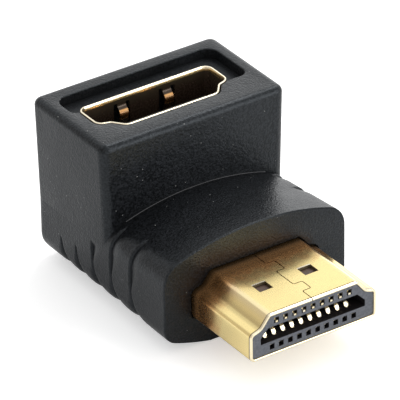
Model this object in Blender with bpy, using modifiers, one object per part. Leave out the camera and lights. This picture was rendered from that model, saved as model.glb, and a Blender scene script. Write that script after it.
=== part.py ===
"""A right angle adapter: a plug and a socket of one outline, joined by a black moulded elbow.

Metres, +Z up. The part rests on its underside at z = 0, the plug points to -Y and the socket opens to +Z.
Each connector is modelled in its own mating frame, which an empty holds: x runs across, y from the wide side
of the outline to the narrow side, and z out of the mating face.
"""

import math

import bmesh
import bpy
from mathutils import Matrix, Vector

MM = 0.001

# Outline that plug and socket share, measured on the outside of the plug's shell
OUTLINE_WIDTH = 13.9 * MM
OUTLINE_HEIGHT = 4.45 * MM
NARROW_WIDTH = 9.8 * MM
SIDE_HEIGHT = 2.9 * MM
SHOULDER_STEP = 1.1 * MM
SHOULDER_RISE = 0.35 * MM
OUTLINE_CORNER = 0.55 * MM
SHOULDER_CORNER = 0.5 * MM
SHOULDER_BEND = 0.75 * MM

# Fits
MATING_GAP = 0.05 * MM
INSERT_GAP = 0.03 * MM
MOULD_GAP = 0.1 * MM
CHANNEL_GAP = 0.06 * MM

# Contacts
CONTACT_PITCH = 1.0 * MM
WIDE_ROW_COUNT = 10
NARROW_ROW_COUNT = 9
CONTACT_WIDTH = 0.4 * MM
CONTACT_THICKNESS = 0.18 * MM

# Plug
SHELL_SHEET = 0.28 * MM
PLUG_REACH = 9.2 * MM
PLUG_HOLD = 3.4 * MM
PLUG_LEAD_IN = 0.18 * MM
INSERT_SETBACK = 0.15 * MM
INSERT_LENGTH = 11.6 * MM
FRONT_BAR = 0.75 * MM
SLOT_WIDTH = 11.5 * MM
SLOT_HEIGHT = 1.5 * MM
SLOT_DEPTH = 8.2 * MM
SLOT_CHAMFER = 0.85 * MM
CHANNEL_DEPTH = 0.85 * MM
PIN_HOLE_HEIGHT = 0.56 * MM
PIN_CREST = 0.25 * MM
PIN_CREST_DEPTH = 2.0 * MM

# Openings and seam in the plug's shell
LATCH_SPACING = 5.0 * MM
LATCH_SHIFT = -0.15 * MM
LATCH_WIDTH = 1.4 * MM
LATCH_LENGTH = 1.25 * MM
LATCH_SETBACK = 3.65 * MM
SEAM_GAP = 0.06 * MM
SEAM_SHIFT = -0.15 * MM
SEAM_TAB_WIDTH = 0.95 * MM
SEAM_TAB_LENGTHS = (1.4 * MM, 1.65 * MM)
SEAM_TAB_SETBACKS = (1.6 * MM, 5.7 * MM)

# Circuit board
BOARD_THICKNESS = 1.0 * MM
BOARD_SIDE = 0.45 * MM
BOARD_SETBACK = 0.8 * MM
TAIL_OVERLAP = 1.9 * MM
SOLDER_GAP = 0.04 * MM

# Socket, which stands a little off the block's centre
SOCKET_SHIFT_X = -0.7 * MM
SOCKET_SHIFT_Y = -1.03 * MM
SOCKET_FLARE = 0.08 * MM
SOCKET_FLARE_DEPTH = 0.3 * MM
SHELL_FOOT_GAP = 0.3 * MM
TONGUE_GAP = 0.15 * MM
TONGUE_SETBACK = 1.9 * MM
BASE_HEIGHT = 3.5 * MM
BASE_FOOT_GAP = 0.5 * MM
FOOT_LENGTH = 1.1 * MM
LEG_WIDTH = 0.6 * MM
LEG_LENGTH = 1.8 * MM
LEG_CENTRES = (0.95 * MM, 2.25 * MM)
LEG_SLOT_GAP = 0.1 * MM
PEG_RADIUS = 0.45 * MM
PEG_LENGTH = 0.8 * MM
PEG_INSET = 0.95 * MM

# Spring fingers of the socket's shell
FINGER_WIDTH = 1.0 * MM
FINGER_SIDE_SLOT = 0.45 * MM
FINGER_SETBACK = 0.75 * MM
FINGER_LENGTH = 4.6 * MM
FINGER_THICKNESS = 0.2 * MM
FINGER_REACH = 0.55 * MM

# Moulded elbow
BLOCK_TOP_WIDTH = 20.3 * MM
BLOCK_WIDTH = 19.7 * MM
BLOCK_DEPTH = 12.0 * MM
BLOCK_HEIGHT = 17.35 * MM
BLOCK_CORNER = 0.9 * MM
BLOCK_TOP_EDGE = 0.7 * MM
BOOT_LENGTH = 9.55 * MM
BOOT_FACE_WIDTH = 20.1 * MM
BOOT_FACE_TOP = 10.85 * MM
BOOT_ROOT_TOP = 10.1 * MM
BOOT_EDGE = 0.25 * MM
BOOT_SHOULDER = 2.4 * MM
BOOT_CORNER = 1.8 * MM
HEEL_CORNER = 2.1 * MM
CROWN_RADIUS = 26.0 * MM
CROWN_FLAT = 2.0 * MM
REST_FLAT = 10.0 * MM
PLUG_ELEVATION = 3.0 * MM
WALL = 1.0 * MM
REAR_WALL = 1.5 * MM

# Finger scallops on the elbow's sides
SCALLOP_START = 5.85 * MM
SCALLOP_PITCHES = (3.3 * MM, 3.1 * MM, 2.9 * MM, 2.4 * MM)
SCALLOP_LOBE = 0.48
SCALLOP_LINE = 0.22 * MM
SCALLOP_FLARE = 1.6 * MM
SCALLOP_DEPTH = 0.6 * MM
SCALLOP_SHALLOW = 0.38
SCALLOP_ROUND_BELOW = 1.2 * MM
SCALLOP_THIN_ABOVE = 4.0 * MM
SCALLOP_OPEN_ABOVE = 6.2 * MM
SCALLOP_STEP = 0.1 * MM
SCALLOP_BOW_LOW = 2.1 * MM
SCALLOP_BOW_HIGH = 0.7 * MM
SCALLOP_FADE = 0.9 * MM
SCALLOP_CEILING = 6.5 * MM
SCALLOP_FLOOR = 4.4 * MM

# Relief pocket in the top face, behind the socket and along one side of it
RELIEF_DEPTH = 1.0 * MM
RELIEF_HALF_WIDTH = 8.7 * MM
RELIEF_MARGIN = 1.75 * MM
RELIEF_CORNER = 1.3 * MM
RELIEF_LONG_END = 3.3 * MM
RELIEF_SHORT_END = 0.4 * MM

ARC_STEPS = 4
CROWN_STEPS = 4
SIDE_STEPS = 8
SCALLOP_SHARES = (-1, -0.6, -0.25, 0, 0.25, 0.6, 1)
SHARP_ANGLE = math.radians(30)

# Places that follow from the sizes above
TOTAL_LENGTH = PLUG_REACH + BOOT_LENGTH + BLOCK_DEPTH
TIP_Y = -TOTAL_LENGTH / 2
BOOT_FACE_Y = TIP_Y + PLUG_REACH
BLOCK_FRONT_Y = BOOT_FACE_Y + BOOT_LENGTH
BACK_Y = TOTAL_LENGTH / 2
BLOCK_CENTRE_Y = (BLOCK_FRONT_Y + BACK_Y) / 2
SOCKET_WIDE_Y = BLOCK_CENTRE_Y + SOCKET_SHIFT_Y + OUTLINE_HEIGHT / 2
BOARD_Z = PLUG_ELEVATION + OUTLINE_HEIGHT / 2
BOARD_TOP_Z = BOARD_Z + BOARD_THICKNESS / 2
SHELL_BACK_Y = BOOT_FACE_Y + PLUG_HOLD
BOARD_FRONT_Y = SHELL_BACK_Y + BOARD_SETBACK
CAVITY_FRONT_Y = SHELL_BACK_Y + MOULD_GAP / 2
CAVITY_BACK_Y = BACK_Y - REAR_WALL
MOULD_FRONT_Y = CAVITY_FRONT_Y + MOULD_GAP
MOULD_BACK_Y = CAVITY_BACK_Y - MOULD_GAP
BOARD_BACK_Y = MOULD_BACK_Y - WALL / 2
BOARD_WIDTH = BLOCK_WIDTH - 2 * (WALL + BOARD_SIDE)
PEG_SPACING = OUTLINE_WIDTH - 2 * PEG_INSET
SOCKET_DEPTH = BLOCK_HEIGHT - BOARD_TOP_Z
SLOT_LOW = (OUTLINE_HEIGHT - SLOT_HEIGHT) / 2
SLOT_HIGH = SLOT_LOW + SLOT_HEIGHT
SHELL_GROWTH = MATING_GAP + SHELL_SHEET


def new_collection(name):
    collection = bpy.data.collections.new(name)
    bpy.context.scene.collection.children.link(collection)
    return collection


def clear_scene():
    for obj in list(bpy.data.objects):
        bpy.data.objects.remove(obj)


def principled(name, colour, roughness, metallic=0.0):
    material = bpy.data.materials.new(name)
    material.use_nodes = True
    shader = material.node_tree.nodes["Principled BSDF"]
    shader.inputs["Base Color"].default_value = (*colour, 1.0)
    shader.inputs["Roughness"].default_value = roughness
    shader.inputs["Metallic"].default_value = metallic
    return material


def arc(centre, radius, start, end, steps=ARC_STEPS):
    angles = [start + (end - start) * step / steps for step in range(steps + 1)]
    return [Vector((centre[0] + radius * math.cos(a), centre[1] + radius * math.sin(a))) for a in angles]


def edge_directions(corners, index):
    before, here, after = (Vector(corners[(index + step) % len(corners)][:2]) for step in (-1, 0, 1))
    return (here - before).normalized(), (after - here).normalized()


def grown(corners, growth):
    """Corners (x, y, radius) of a counter-clockwise outline, moved out so that the wall between is even."""
    moved = []
    for index, (x, y, radius) in enumerate(corners):
        into, out = edge_directions(corners, index)
        normals = Vector((into.y, -into.x)) + Vector((out.y, -out.x))
        shift = normals * growth / (1 + into.dot(out))
        turn = math.copysign(1, into.cross(out))
        moved.append((x + shift.x, y + shift.y, max(radius + turn * growth, 0)))
    return moved


def rounded(corners):
    """The outline through corners (x, y, radius), each rounded by its own radius."""
    points = []
    for index, (x, y, radius) in enumerate(corners):
        into, out = edge_directions(corners, index)
        turn = into.angle_signed(out)
        if radius <= 0:
            points.append(Vector((x, y)))
            continue
        reach = radius * math.tan(abs(turn) / 2)
        side = -math.copysign(1, turn)
        centre = Vector((x, y)) - into * reach + Vector((-into.y, into.x)) * radius * side
        start = math.atan2(-into.x * side, into.y * side)
        points.extend(arc(centre, radius, start, start - turn))
    return points


def mating_corners():
    """Corners of the plug's outline: a wide lower part, a shoulder, and a sloping run to the narrow side."""
    wide = OUTLINE_WIDTH / 2
    shoulder = wide - SHOULDER_STEP
    narrow = NARROW_WIDTH / 2
    shoulder_y = SIDE_HEIGHT + SHOULDER_RISE
    right = [
        (wide, 0, OUTLINE_CORNER),
        (wide, SIDE_HEIGHT, SHOULDER_CORNER),
        (shoulder, shoulder_y, SHOULDER_BEND),
        (narrow, OUTLINE_HEIGHT, OUTLINE_CORNER),
    ]
    return right + [(-x, y, radius) for x, y, radius in reversed(right)]


def slot_corners():
    """Corners of the slot in the plug, chamfered on the narrow side."""
    half = SLOT_WIDTH / 2
    right = [
        (half, SLOT_LOW, 0),
        (half, SLOT_HIGH - SLOT_CHAMFER, 0),
        (half - SLOT_CHAMFER, SLOT_HIGH, 0),
    ]
    return right + [(-x, y, radius) for x, y, radius in reversed(right)]


def box_corners(x_low, x_high, y_low, y_high, radius=0):
    return [(x_low, y_low, radius), (x_high, y_low, radius), (x_high, y_high, radius), (x_low, y_high, radius)]


def add_object(name, mesh, collection, parent=None):
    obj = bpy.data.objects.new(name, mesh)
    obj.parent = parent
    collection.objects.link(obj)
    return obj


def hide_cutter(obj):
    obj.hide_render = True
    obj.display_type = "WIRE"
    return obj


def lofted(name, rings, collection, parent=None, capped=True, closed=False):
    """A skin through rings of equal count: capped, left as an open tube, or closed back on its first ring."""
    mesh = bmesh.new()
    loops = [[mesh.verts.new(point) for point in ring] for ring in rings]
    following_loops = loops[1:] + loops[:1] if closed else loops[1:]
    for near, far in zip(loops, following_loops):
        for index, corner in enumerate(near):
            following = (index + 1) % len(near)
            mesh.faces.new((corner, near[following], far[following], far[index]))
    if capped:
        mesh.faces.new(loops[0])
        mesh.faces.new(loops[-1])
    bmesh.ops.recalc_face_normals(mesh, faces=mesh.faces)
    data = bpy.data.meshes.new(name)
    mesh.to_mesh(data)
    mesh.free()
    return add_object(name, data, collection, parent)


def ring_at(corners, growth, height):
    return [Vector((point.x, point.y, height)) for point in rounded(grown(corners, growth))]


def prism(name, corners, low, high, collection, parent=None, growth=0.0):
    """An outline filled and extruded along z, as a mesh whose caps are welded to its sides."""
    curve = bpy.data.curves.new(name, "CURVE")
    curve.dimensions = "2D"
    curve.fill_mode = "BOTH"
    curve.extrude = (high - low) / 2
    outline = rounded(grown(corners, growth))
    spline = curve.splines.new("POLY")
    spline.points.add(len(outline) - 1)
    spline.use_cyclic_u = True
    for point, place in zip(spline.points, outline):
        point.co = (place.x, place.y, 0, 1)
    guide = add_object(name + "_outline", curve, collection)
    bpy.context.view_layer.update()
    mesh = bpy.data.meshes.new_from_object(guide.evaluated_get(bpy.context.evaluated_depsgraph_get()))
    mesh.transform(Matrix.Translation((0, 0, (low + high) / 2)))
    bpy.data.objects.remove(guide)
    welded = bmesh.new()
    welded.from_mesh(mesh)
    bmesh.ops.remove_doubles(welded, verts=welded.verts, dist=1e-7)
    bmesh.ops.recalc_face_normals(welded, faces=welded.faces)
    welded.to_mesh(mesh)
    welded.free()
    return add_object(name, mesh, collection, parent)


def boxes(name, spans, collection, parent=None):
    """One mesh of separate boxes, each given as its low and high corners."""
    mesh = bmesh.new()
    for low, high in spans:
        low, high = Vector(low), Vector(high)
        size = Matrix.Diagonal((*(high - low), 1))
        bmesh.ops.create_cube(mesh, size=1, matrix=Matrix.Translation((low + high) / 2) @ size)
    data = bpy.data.meshes.new(name)
    mesh.to_mesh(data)
    mesh.free()
    return add_object(name, data, collection, parent)


def pegs(name, centres, radius, low, high, collection, parent=None):
    mesh = bmesh.new()
    for x, y in centres:
        place = Matrix.Translation((x, y, (low + high) / 2))
        bmesh.ops.create_cone(
            mesh, cap_ends=True, segments=16, radius1=radius, radius2=radius, depth=high - low, matrix=place
        )
    data = bpy.data.meshes.new(name)
    mesh.to_mesh(data)
    mesh.free()
    return add_object(name, data, collection, parent)


def strip_mesh(name, path, width, across=Vector((1, 0, 0))):
    """A flat ribbon along a path, as wide as a strip of sheet before it gets its thickness."""
    mesh = bmesh.new()
    pairs = [[mesh.verts.new(Vector(place) + across * side * width / 2) for side in (-1, 1)] for place in path]
    for near, far in zip(pairs, pairs[1:]):
        mesh.faces.new((near[0], near[1], far[1], far[0]))
    data = bpy.data.meshes.new(name)
    mesh.to_mesh(data)
    mesh.free()
    return data


def thicken(obj, thickness, offset=0.0):
    solidify = obj.modifiers.new("sheet", "SOLIDIFY")
    solidify.thickness = thickness
    solidify.offset = offset
    solidify.use_even_offset = True


def combine(obj, other, operation):
    boolean = obj.modifiers.new(other.name, "BOOLEAN")
    boolean.object = other
    boolean.operation = operation


def cut(obj, *cutters):
    for cutter in cutters:
        combine(obj, hide_cutter(cutter), "DIFFERENCE")


def join(obj, *others):
    for other in others:
        combine(obj, hide_cutter(other), "UNION")


def finish(obj, material):
    """Settles the modifiers into the mesh, then gives it its material and smooth shading."""
    bpy.context.view_layer.update()
    settled = bpy.data.meshes.new_from_object(obj.evaluated_get(bpy.context.evaluated_depsgraph_get()))
    obj.modifiers.clear()
    obj.data = settled
    settled.materials.clear()
    settled.materials.append(material)
    settled.shade_smooth()
    settled.set_sharp_from_angle(angle=SHARP_ANGLE)


def contact_places(count):
    return [(index - (count - 1) / 2) * CONTACT_PITCH for index in range(count)]


def blend(low, high, value):
    """0 below low, 1 above high and an even curve between."""
    share = min(max((value - low) / (high - low), 0), 1)
    return share * share * (3 - 2 * share)


def quarter_section(half_width, inset, flat, radius):
    """Points from the side to the crown as (x, drop below the crown), for a section inset evenly."""
    crown = CROWN_RADIUS - inset
    corner = radius - inset
    reach = half_width - inset - corner
    tilt = math.asin(reach / (crown - corner))
    level = crown * math.cos(math.asin(flat / 2 / crown))
    centre = (reach, (crown - corner) * math.cos(tilt) - level)
    flat_start = math.pi / 2 - math.asin(flat / 2 / crown)
    points = arc(centre, corner, 0, math.pi / 2 - tilt)
    points += arc((0, -level), crown, math.pi / 2 - tilt, flat_start, CROWN_STEPS)[1:]
    return [(point.x, -point.y) for point in points]


def barrel_section(half_width, top, inset=0.0, heel=BOOT_CORNER):
    """A counter-clockwise section with flat sides, round corners and a crowned top and underside."""
    lower = [(x, inset + drop) for x, drop in quarter_section(half_width, inset, REST_FLAT, heel)]
    crowned = quarter_section(half_width, inset, CROWN_FLAT, BOOT_SHOULDER)
    upper = [(x, top - inset - drop) for x, drop in crowned]
    low_z, high_z = lower[0][1], upper[0][1]
    side = [(lower[0][0], low_z + (high_z - low_z) * step / SIDE_STEPS) for step in range(1, SIDE_STEPS)]
    right = lower[::-1] + side + upper
    return right + [(-x, z) for x, z in reversed(right)]


def half_width_at(y):
    share = min(max((y - BOOT_FACE_Y) / BOOT_LENGTH, 0), 1)
    return (BOOT_FACE_WIDTH + (BLOCK_WIDTH - BOOT_FACE_WIDTH) * share) / 2


def top_at(y):
    share = min(max((y - BOOT_FACE_Y) / BOOT_LENGTH, 0), 1)
    return BOOT_FACE_TOP + (BOOT_ROOT_TOP - BOOT_FACE_TOP) * share


def heel_at(y):
    return BOOT_CORNER + (HEEL_CORNER - BOOT_CORNER) * blend(BLOCK_FRONT_Y, BACK_Y, y)


def scallop_share(x, y, z):
    """How much of a scallop's depth reaches this place: all of it low on the side, none on the crown.

    Beside the block the scallops also end below a ceiling that falls towards the back.
    """
    inner = half_width_at(y) - BOOT_CORNER
    share = blend(inner, inner + SCALLOP_FADE, abs(x))
    share *= 1 - (1 - SCALLOP_SHALLOW) * blend(SCALLOP_ROUND_BELOW, SCALLOP_THIN_ABOVE, z)
    if y > BLOCK_FRONT_Y + SCALLOP_STEP:
        fall = blend(BLOCK_FRONT_Y + SCALLOP_PITCHES[1], BLOCK_CENTRE_Y, y)
        ceiling = SCALLOP_CEILING + (SCALLOP_FLOOR - SCALLOP_CEILING) * fall
        share *= 1 - blend(ceiling - SCALLOP_FADE, ceiling, z)
    return share


def scallop_places():
    """The place along the leg where each scallop is deepest, from the boot to the back."""
    places = [BOOT_FACE_Y + SCALLOP_START]
    for pitch in SCALLOP_PITCHES:
        places.append(places[-1] + pitch)
    return places


def bowed(y, z):
    """Where a place lies once its ring is bowed: farthest forward at the crown and the underside."""
    first, *_, last = scallop_places()
    bow = SCALLOP_BOW_LOW if z < top_at(y) / 2 else SCALLOP_BOW_HIGH
    bow *= blend(first - SCALLOP_FLARE - BOOT_LENGTH / 4, first, y)
    bow *= 1 - blend(last, BACK_Y - BLOCK_CORNER, y)
    height = 2 * z / top_at(y) - 1
    return y - bow * height * height


def leg_section(y, inset=0.0):
    return barrel_section(half_width_at(y), top_at(y), inset, heel_at(y))


def plain_ring(y, inset):
    """A section of the horizontal leg at y, clear of the scallops."""
    return [Vector((x, bowed(y, z), z)) for x, z in leg_section(y, inset)]


def scallop_slopes(before, after, z):
    """Lengths of a scallop's front and back slopes: round lobes, then a thin line, then a long front slope."""
    lobe = 1 - blend(SCALLOP_ROUND_BELOW, SCALLOP_THIN_ABOVE, z)
    opened = blend(SCALLOP_THIN_ABOVE, SCALLOP_OPEN_ABOVE, z)
    front = SCALLOP_LINE + (SCALLOP_LOBE * before - SCALLOP_LINE) * lobe * lobe
    front += (SCALLOP_FLARE - SCALLOP_LINE) * opened
    return front, SCALLOP_LINE + (SCALLOP_LOBE * after - SCALLOP_LINE) * lobe


def scallop_ring(deepest, before, after, share):
    """A section through a scallop, where share runs from -1 at its front end over 0 to 1 at its back end.

    Before and after are the distances to the scallops next to it, so that the lobes low down meet.
    """
    ring = []
    for index, (_, z) in enumerate(leg_section(deepest)):
        front, back = scallop_slopes(before, after, z)
        y = deepest + share * (back if share > 0 else front)
        x, z = leg_section(y)[index]
        deep_x, deep_z = leg_section(y, SCALLOP_DEPTH)[index]
        depth = (1 - abs(share)) ** 2 * scallop_share(x, y, z)
        ring.append(Vector((x + (deep_x - x) * depth, bowed(y, z), z + (deep_z - z) * depth)))
    return ring


def elbow_leg(collection):
    """The horizontal leg, from the rounded rim of the boot's face to the rounded back edge."""
    rings = []
    for step in range(ARC_STEPS + 1):
        angle = math.pi / 2 * step / ARC_STEPS
        place = BOOT_FACE_Y + BOOT_EDGE * (1 - math.cos(angle))
        rings.append(plain_ring(place, BOOT_EDGE * (1 - math.sin(angle))))
    gaps = (SCALLOP_PITCHES[0], *SCALLOP_PITCHES, SCALLOP_PITCHES[-1])
    for deepest, before, after in zip(scallop_places(), gaps, gaps[1:]):
        rings += [scallop_ring(deepest, before, after, share) for share in SCALLOP_SHARES]
    for step in range(ARC_STEPS + 1):
        angle = math.pi / 2 * step / ARC_STEPS
        y = BACK_Y - BLOCK_CORNER * (1 - math.sin(angle))
        rings.append(plain_ring(y, BLOCK_CORNER * (1 - math.cos(angle))))
    return lofted("overmould_body", rings, collection)


def elbow_block(collection):
    """The upright leg, a little wider at the top, with round vertical corners and a round top edge."""
    half, top_half = BLOCK_WIDTH / 2, BLOCK_TOP_WIDTH / 2
    foot = box_corners(-half, half, BLOCK_FRONT_Y, BACK_Y, BLOCK_CORNER)
    corners = box_corners(-top_half, top_half, BLOCK_FRONT_Y, BACK_Y, BLOCK_CORNER)
    rings = [ring_at(foot, 0, SCALLOP_CEILING + SCALLOP_STEP)]
    for step in range(ARC_STEPS + 1):
        angle = math.pi / 2 * step / ARC_STEPS
        height = BLOCK_HEIGHT - BLOCK_TOP_EDGE * (1 - math.sin(angle))
        rings.append(ring_at(corners, -BLOCK_TOP_EDGE * (1 - math.cos(angle)), height))
    return lofted("upright_block", rings, collection)


def relief_pocket(collection):
    """The relief's outline runs from inside the socket's hole, round its wide side, to the long end."""
    half = RELIEF_HALF_WIDTH
    inner = SOCKET_SHIFT_X + NARROW_WIDTH / 2
    back = BACK_Y - RELIEF_MARGIN
    long_y = SOCKET_WIDE_Y - RELIEF_LONG_END
    short_y = SOCKET_WIDE_Y - RELIEF_SHORT_END
    corners = [
        (inner, long_y, 0),
        (half, long_y, RELIEF_CORNER * 0.7),
        (half, back, RELIEF_CORNER),
        (-half, back, RELIEF_CORNER),
        (-half, short_y, RELIEF_CORNER * 0.7),
        (inner, short_y, 0),
    ]
    low = BLOCK_HEIGHT - RELIEF_DEPTH
    return prism("relief_pocket", corners, low, BLOCK_HEIGHT + RELIEF_DEPTH, collection)


def barrel_prism(name, front, back, inset, collection):
    section = barrel_section(BLOCK_WIDTH / 2, BOOT_ROOT_TOP, inset)
    rings = [[Vector((x, y, z)) for x, z in section] for y in (front, back)]
    return lofted(name, rings, collection)


def overmould(parts, cutters, plug_datum, socket_datum, material):
    """The black elbow with its holes for both connectors and its cavity for the inner mould."""
    body = elbow_leg(parts)
    join(body, elbow_block(cutters))
    cavity = barrel_prism("inner_cavity", CAVITY_FRONT_Y, CAVITY_BACK_Y, WALL, cutters)
    hole_end = PLUG_REACH + PLUG_HOLD + 2 * MOULD_GAP
    plug_hole = prism("plug_hole", mating_corners(), -hole_end, 0, cutters, plug_datum, MOULD_GAP)
    growth = SHELL_GROWTH + SOCKET_FLARE + MOULD_GAP / 2
    socket_hole = prism("socket_hole", mating_corners(), -SOCKET_DEPTH, MM, cutters, socket_datum, growth)
    cut(body, cavity, plug_hole, socket_hole, relief_pocket(cutters))
    finish(body, material)


def plug_tail_path(base_y, crest_y, board_face, outwards):
    """Places (0, y, z) along a plug contact, from its tip over its crest to the tail on the board."""
    tail_y = board_face + outwards * (SOLDER_GAP + CONTACT_THICKNESS / 2)
    bend = -(INSERT_SETBACK + INSERT_LENGTH + CONTACT_THICKNESS)
    board = -(PLUG_REACH + PLUG_HOLD + BOARD_SETBACK)
    rise = -(INSERT_SETBACK + FRONT_BAR)
    return [
        (0, base_y, rise + FRONT_BAR / 2),
        (0, base_y, rise - CONTACT_THICKNESS),
        (0, crest_y, -(PIN_CREST_DEPTH - CONTACT_WIDTH)),
        (0, crest_y, -(PIN_CREST_DEPTH + CONTACT_WIDTH)),
        (0, base_y, -(SLOT_DEPTH - PIN_CREST_DEPTH)),
        (0, base_y, bend),
        (0, tail_y, (bend + board) / 2 - CONTACT_THICKNESS),
        (0, tail_y, board - TAIL_OVERLAP),
    ]


def contact_row(name, path, count, parts, parent, material):
    mesh = strip_mesh(name, path, CONTACT_WIDTH)
    mesh.materials.append(material)
    for number, x in enumerate(contact_places(count), 1):
        contact = add_object(f"{name}_{number:02d}", mesh, parts, parent)
        contact.location.x = x
        thicken(contact, CONTACT_THICKNESS)


def plug_contacts(parts, parent, material):
    wide_y = SLOT_LOW - CHANNEL_DEPTH + PIN_HOLE_HEIGHT / 2
    narrow_y = SLOT_HIGH + CHANNEL_DEPTH - PIN_HOLE_HEIGHT / 2
    middle = OUTLINE_HEIGHT / 2
    half_board = BOARD_THICKNESS / 2
    wide = plug_tail_path(wide_y, SLOT_LOW + PIN_CREST, middle - half_board, -1)
    narrow = plug_tail_path(narrow_y, SLOT_HIGH - PIN_CREST, middle + half_board, 1)
    contact_row("plug_contact_wide", wide, WIDE_ROW_COUNT, parts, parent, material)
    contact_row("plug_contact_narrow", narrow, NARROW_ROW_COUNT, parts, parent, material)


def channel_spans(count, y_low, y_high, z_low, z_high):
    half = CONTACT_WIDTH / 2 + CHANNEL_GAP
    return [((x - half, y_low, z_low), (x + half, y_high, z_high)) for x in contact_places(count)]


def plug_insulator(parts, cutters, parent, material):
    """The insert: a slot for the tongue, a channel for each contact and a square hole in front of it."""
    front = -INSERT_SETBACK
    back = front - INSERT_LENGTH
    beyond = FRONT_BAR
    growth = -SHELL_SHEET - INSERT_GAP
    insert = prism("plug_insulator", mating_corners(), back, front, parts, parent, growth)
    slot = prism("plug_slot", slot_corners(), -SLOT_DEPTH, beyond, cutters, parent)
    low, high = SLOT_LOW - CHANNEL_DEPTH, SLOT_HIGH + CHANNEL_DEPTH
    bar = front - FRONT_BAR
    middle = OUTLINE_HEIGHT / 2
    wide = channel_spans(WIDE_ROW_COUNT, low, middle - CHANNEL_GAP, back - beyond, bar)
    narrow = channel_spans(NARROW_ROW_COUNT, middle + CHANNEL_GAP, high, back - beyond, bar)
    wide_holes = channel_spans(WIDE_ROW_COUNT, low, low + PIN_HOLE_HEIGHT, bar - beyond, beyond)
    narrow_holes = channel_spans(NARROW_ROW_COUNT, high - PIN_HOLE_HEIGHT, high, bar - beyond, beyond)
    cut(
        insert,
        slot,
        boxes("plug_wide_channels", wide, cutters, parent),
        boxes("plug_narrow_channels", narrow, cutters, parent),
        boxes("plug_wide_holes", wide_holes, cutters, parent),
        boxes("plug_narrow_holes", narrow_holes, cutters, parent),
    )
    finish(insert, material)


def seam_cutter(cutters, parent):
    """A thin zigzag wall along the narrow side, where the folded sheet's edges lock with two tabs."""
    path = [(SEAM_SHIFT, OUTLINE_HEIGHT, SHELL_SHEET)]
    for setback, length in zip(SEAM_TAB_SETBACKS, SEAM_TAB_LENGTHS):
        path.append((SEAM_SHIFT, OUTLINE_HEIGHT, -setback))
        path.append((SEAM_SHIFT + SEAM_TAB_WIDTH, OUTLINE_HEIGHT, -setback))
        path.append((SEAM_SHIFT + SEAM_TAB_WIDTH, OUTLINE_HEIGHT, -setback - length))
        path.append((SEAM_SHIFT, OUTLINE_HEIGHT, -setback - length))
    path.append((SEAM_SHIFT, OUTLINE_HEIGHT, -(PLUG_REACH + PLUG_HOLD + SHELL_SHEET)))
    mesh = strip_mesh("shell_seam", path, 4 * SHELL_SHEET, Vector((0, 1, 0)))
    seam = add_object("shell_seam", mesh, cutters, parent)
    thicken(seam, SEAM_GAP)
    return seam


def plug_shell(parts, cutters, parent, material):
    """Folded sheet round the insert, its rim rounded for lead-in, with latch windows on both faces."""
    length = PLUG_REACH + PLUG_HOLD
    rim = arc((-PLUG_LEAD_IN, -PLUG_LEAD_IN), PLUG_LEAD_IN, math.pi / 2, 0)
    section = [(-length, 0)] + [(point.x, point.y) for point in rim]
    section += [(0, -SHELL_SHEET), (-length, -SHELL_SHEET)]
    rings = [ring_at(mating_corners(), growth, height) for height, growth in section]
    shell = lofted("plug_shell", rings, parts, parent, capped=False, closed=True)
    half = LATCH_WIDTH / 2
    low, high = -LATCH_SETBACK - LATCH_LENGTH, -LATCH_SETBACK
    spans = []
    for x in (LATCH_SHIFT - LATCH_SPACING / 2, LATCH_SHIFT + LATCH_SPACING / 2):
        for y in (0, OUTLINE_HEIGHT):
            spans.append(((x - half, y - 2 * SHELL_SHEET, low), (x + half, y + 2 * SHELL_SHEET, high)))
    cut(shell, boxes("latch_windows", spans, cutters, parent), seam_cutter(cutters, parent))
    finish(shell, material)


def finger(name, wall_y, inwards, x, cutters, parent):
    """A spring finger: its root in the wall near the mouth, its bow inside the socket, its end free."""
    root = -FINGER_SETBACK
    bow_y = wall_y + inwards * FINGER_REACH
    path = [
        (x, wall_y, root + FINGER_THICKNESS),
        (x, wall_y, root - FINGER_THICKNESS),
        (x, bow_y, root - FINGER_LENGTH * 0.5),
        (x, bow_y, root - FINGER_LENGTH * 0.65),
        (x, wall_y + inwards * FINGER_REACH / 2, root - FINGER_LENGTH * 0.9),
    ]
    strip = add_object(name, strip_mesh(name, path, FINGER_WIDTH), cutters, parent)
    thicken(strip, FINGER_THICKNESS)
    return strip


def leg_comb(cutters, parent):
    """All of the shell's foot but the four legs, as one comb across the socket."""
    foot = -(SOCKET_DEPTH - SHELL_FOOT_GAP)
    below = foot - 2 * LEG_LENGTH
    bottom = below - LEG_LENGTH
    outline = [(OUTLINE_HEIGHT * 2, bottom), (OUTLINE_HEIGHT * 2, foot)]
    half = LEG_WIDTH / 2
    for centre in reversed(LEG_CENTRES):
        for y, z in ((half, foot), (half, below), (-half, below), (-half, foot)):
            outline.append((centre + y, z))
    outline += [(-OUTLINE_HEIGHT, foot), (-OUTLINE_HEIGHT, bottom)]
    corners = [(y, z, 0) for y, z in outline]
    comb = prism("leg_comb", corners, -OUTLINE_WIDTH, OUTLINE_WIDTH, cutters, parent)
    comb.data.transform(Matrix(((0, 0, 1, 0), (1, 0, 0, 0), (0, 1, 0, 0), (0, 0, 0, 1))))
    return comb


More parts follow.
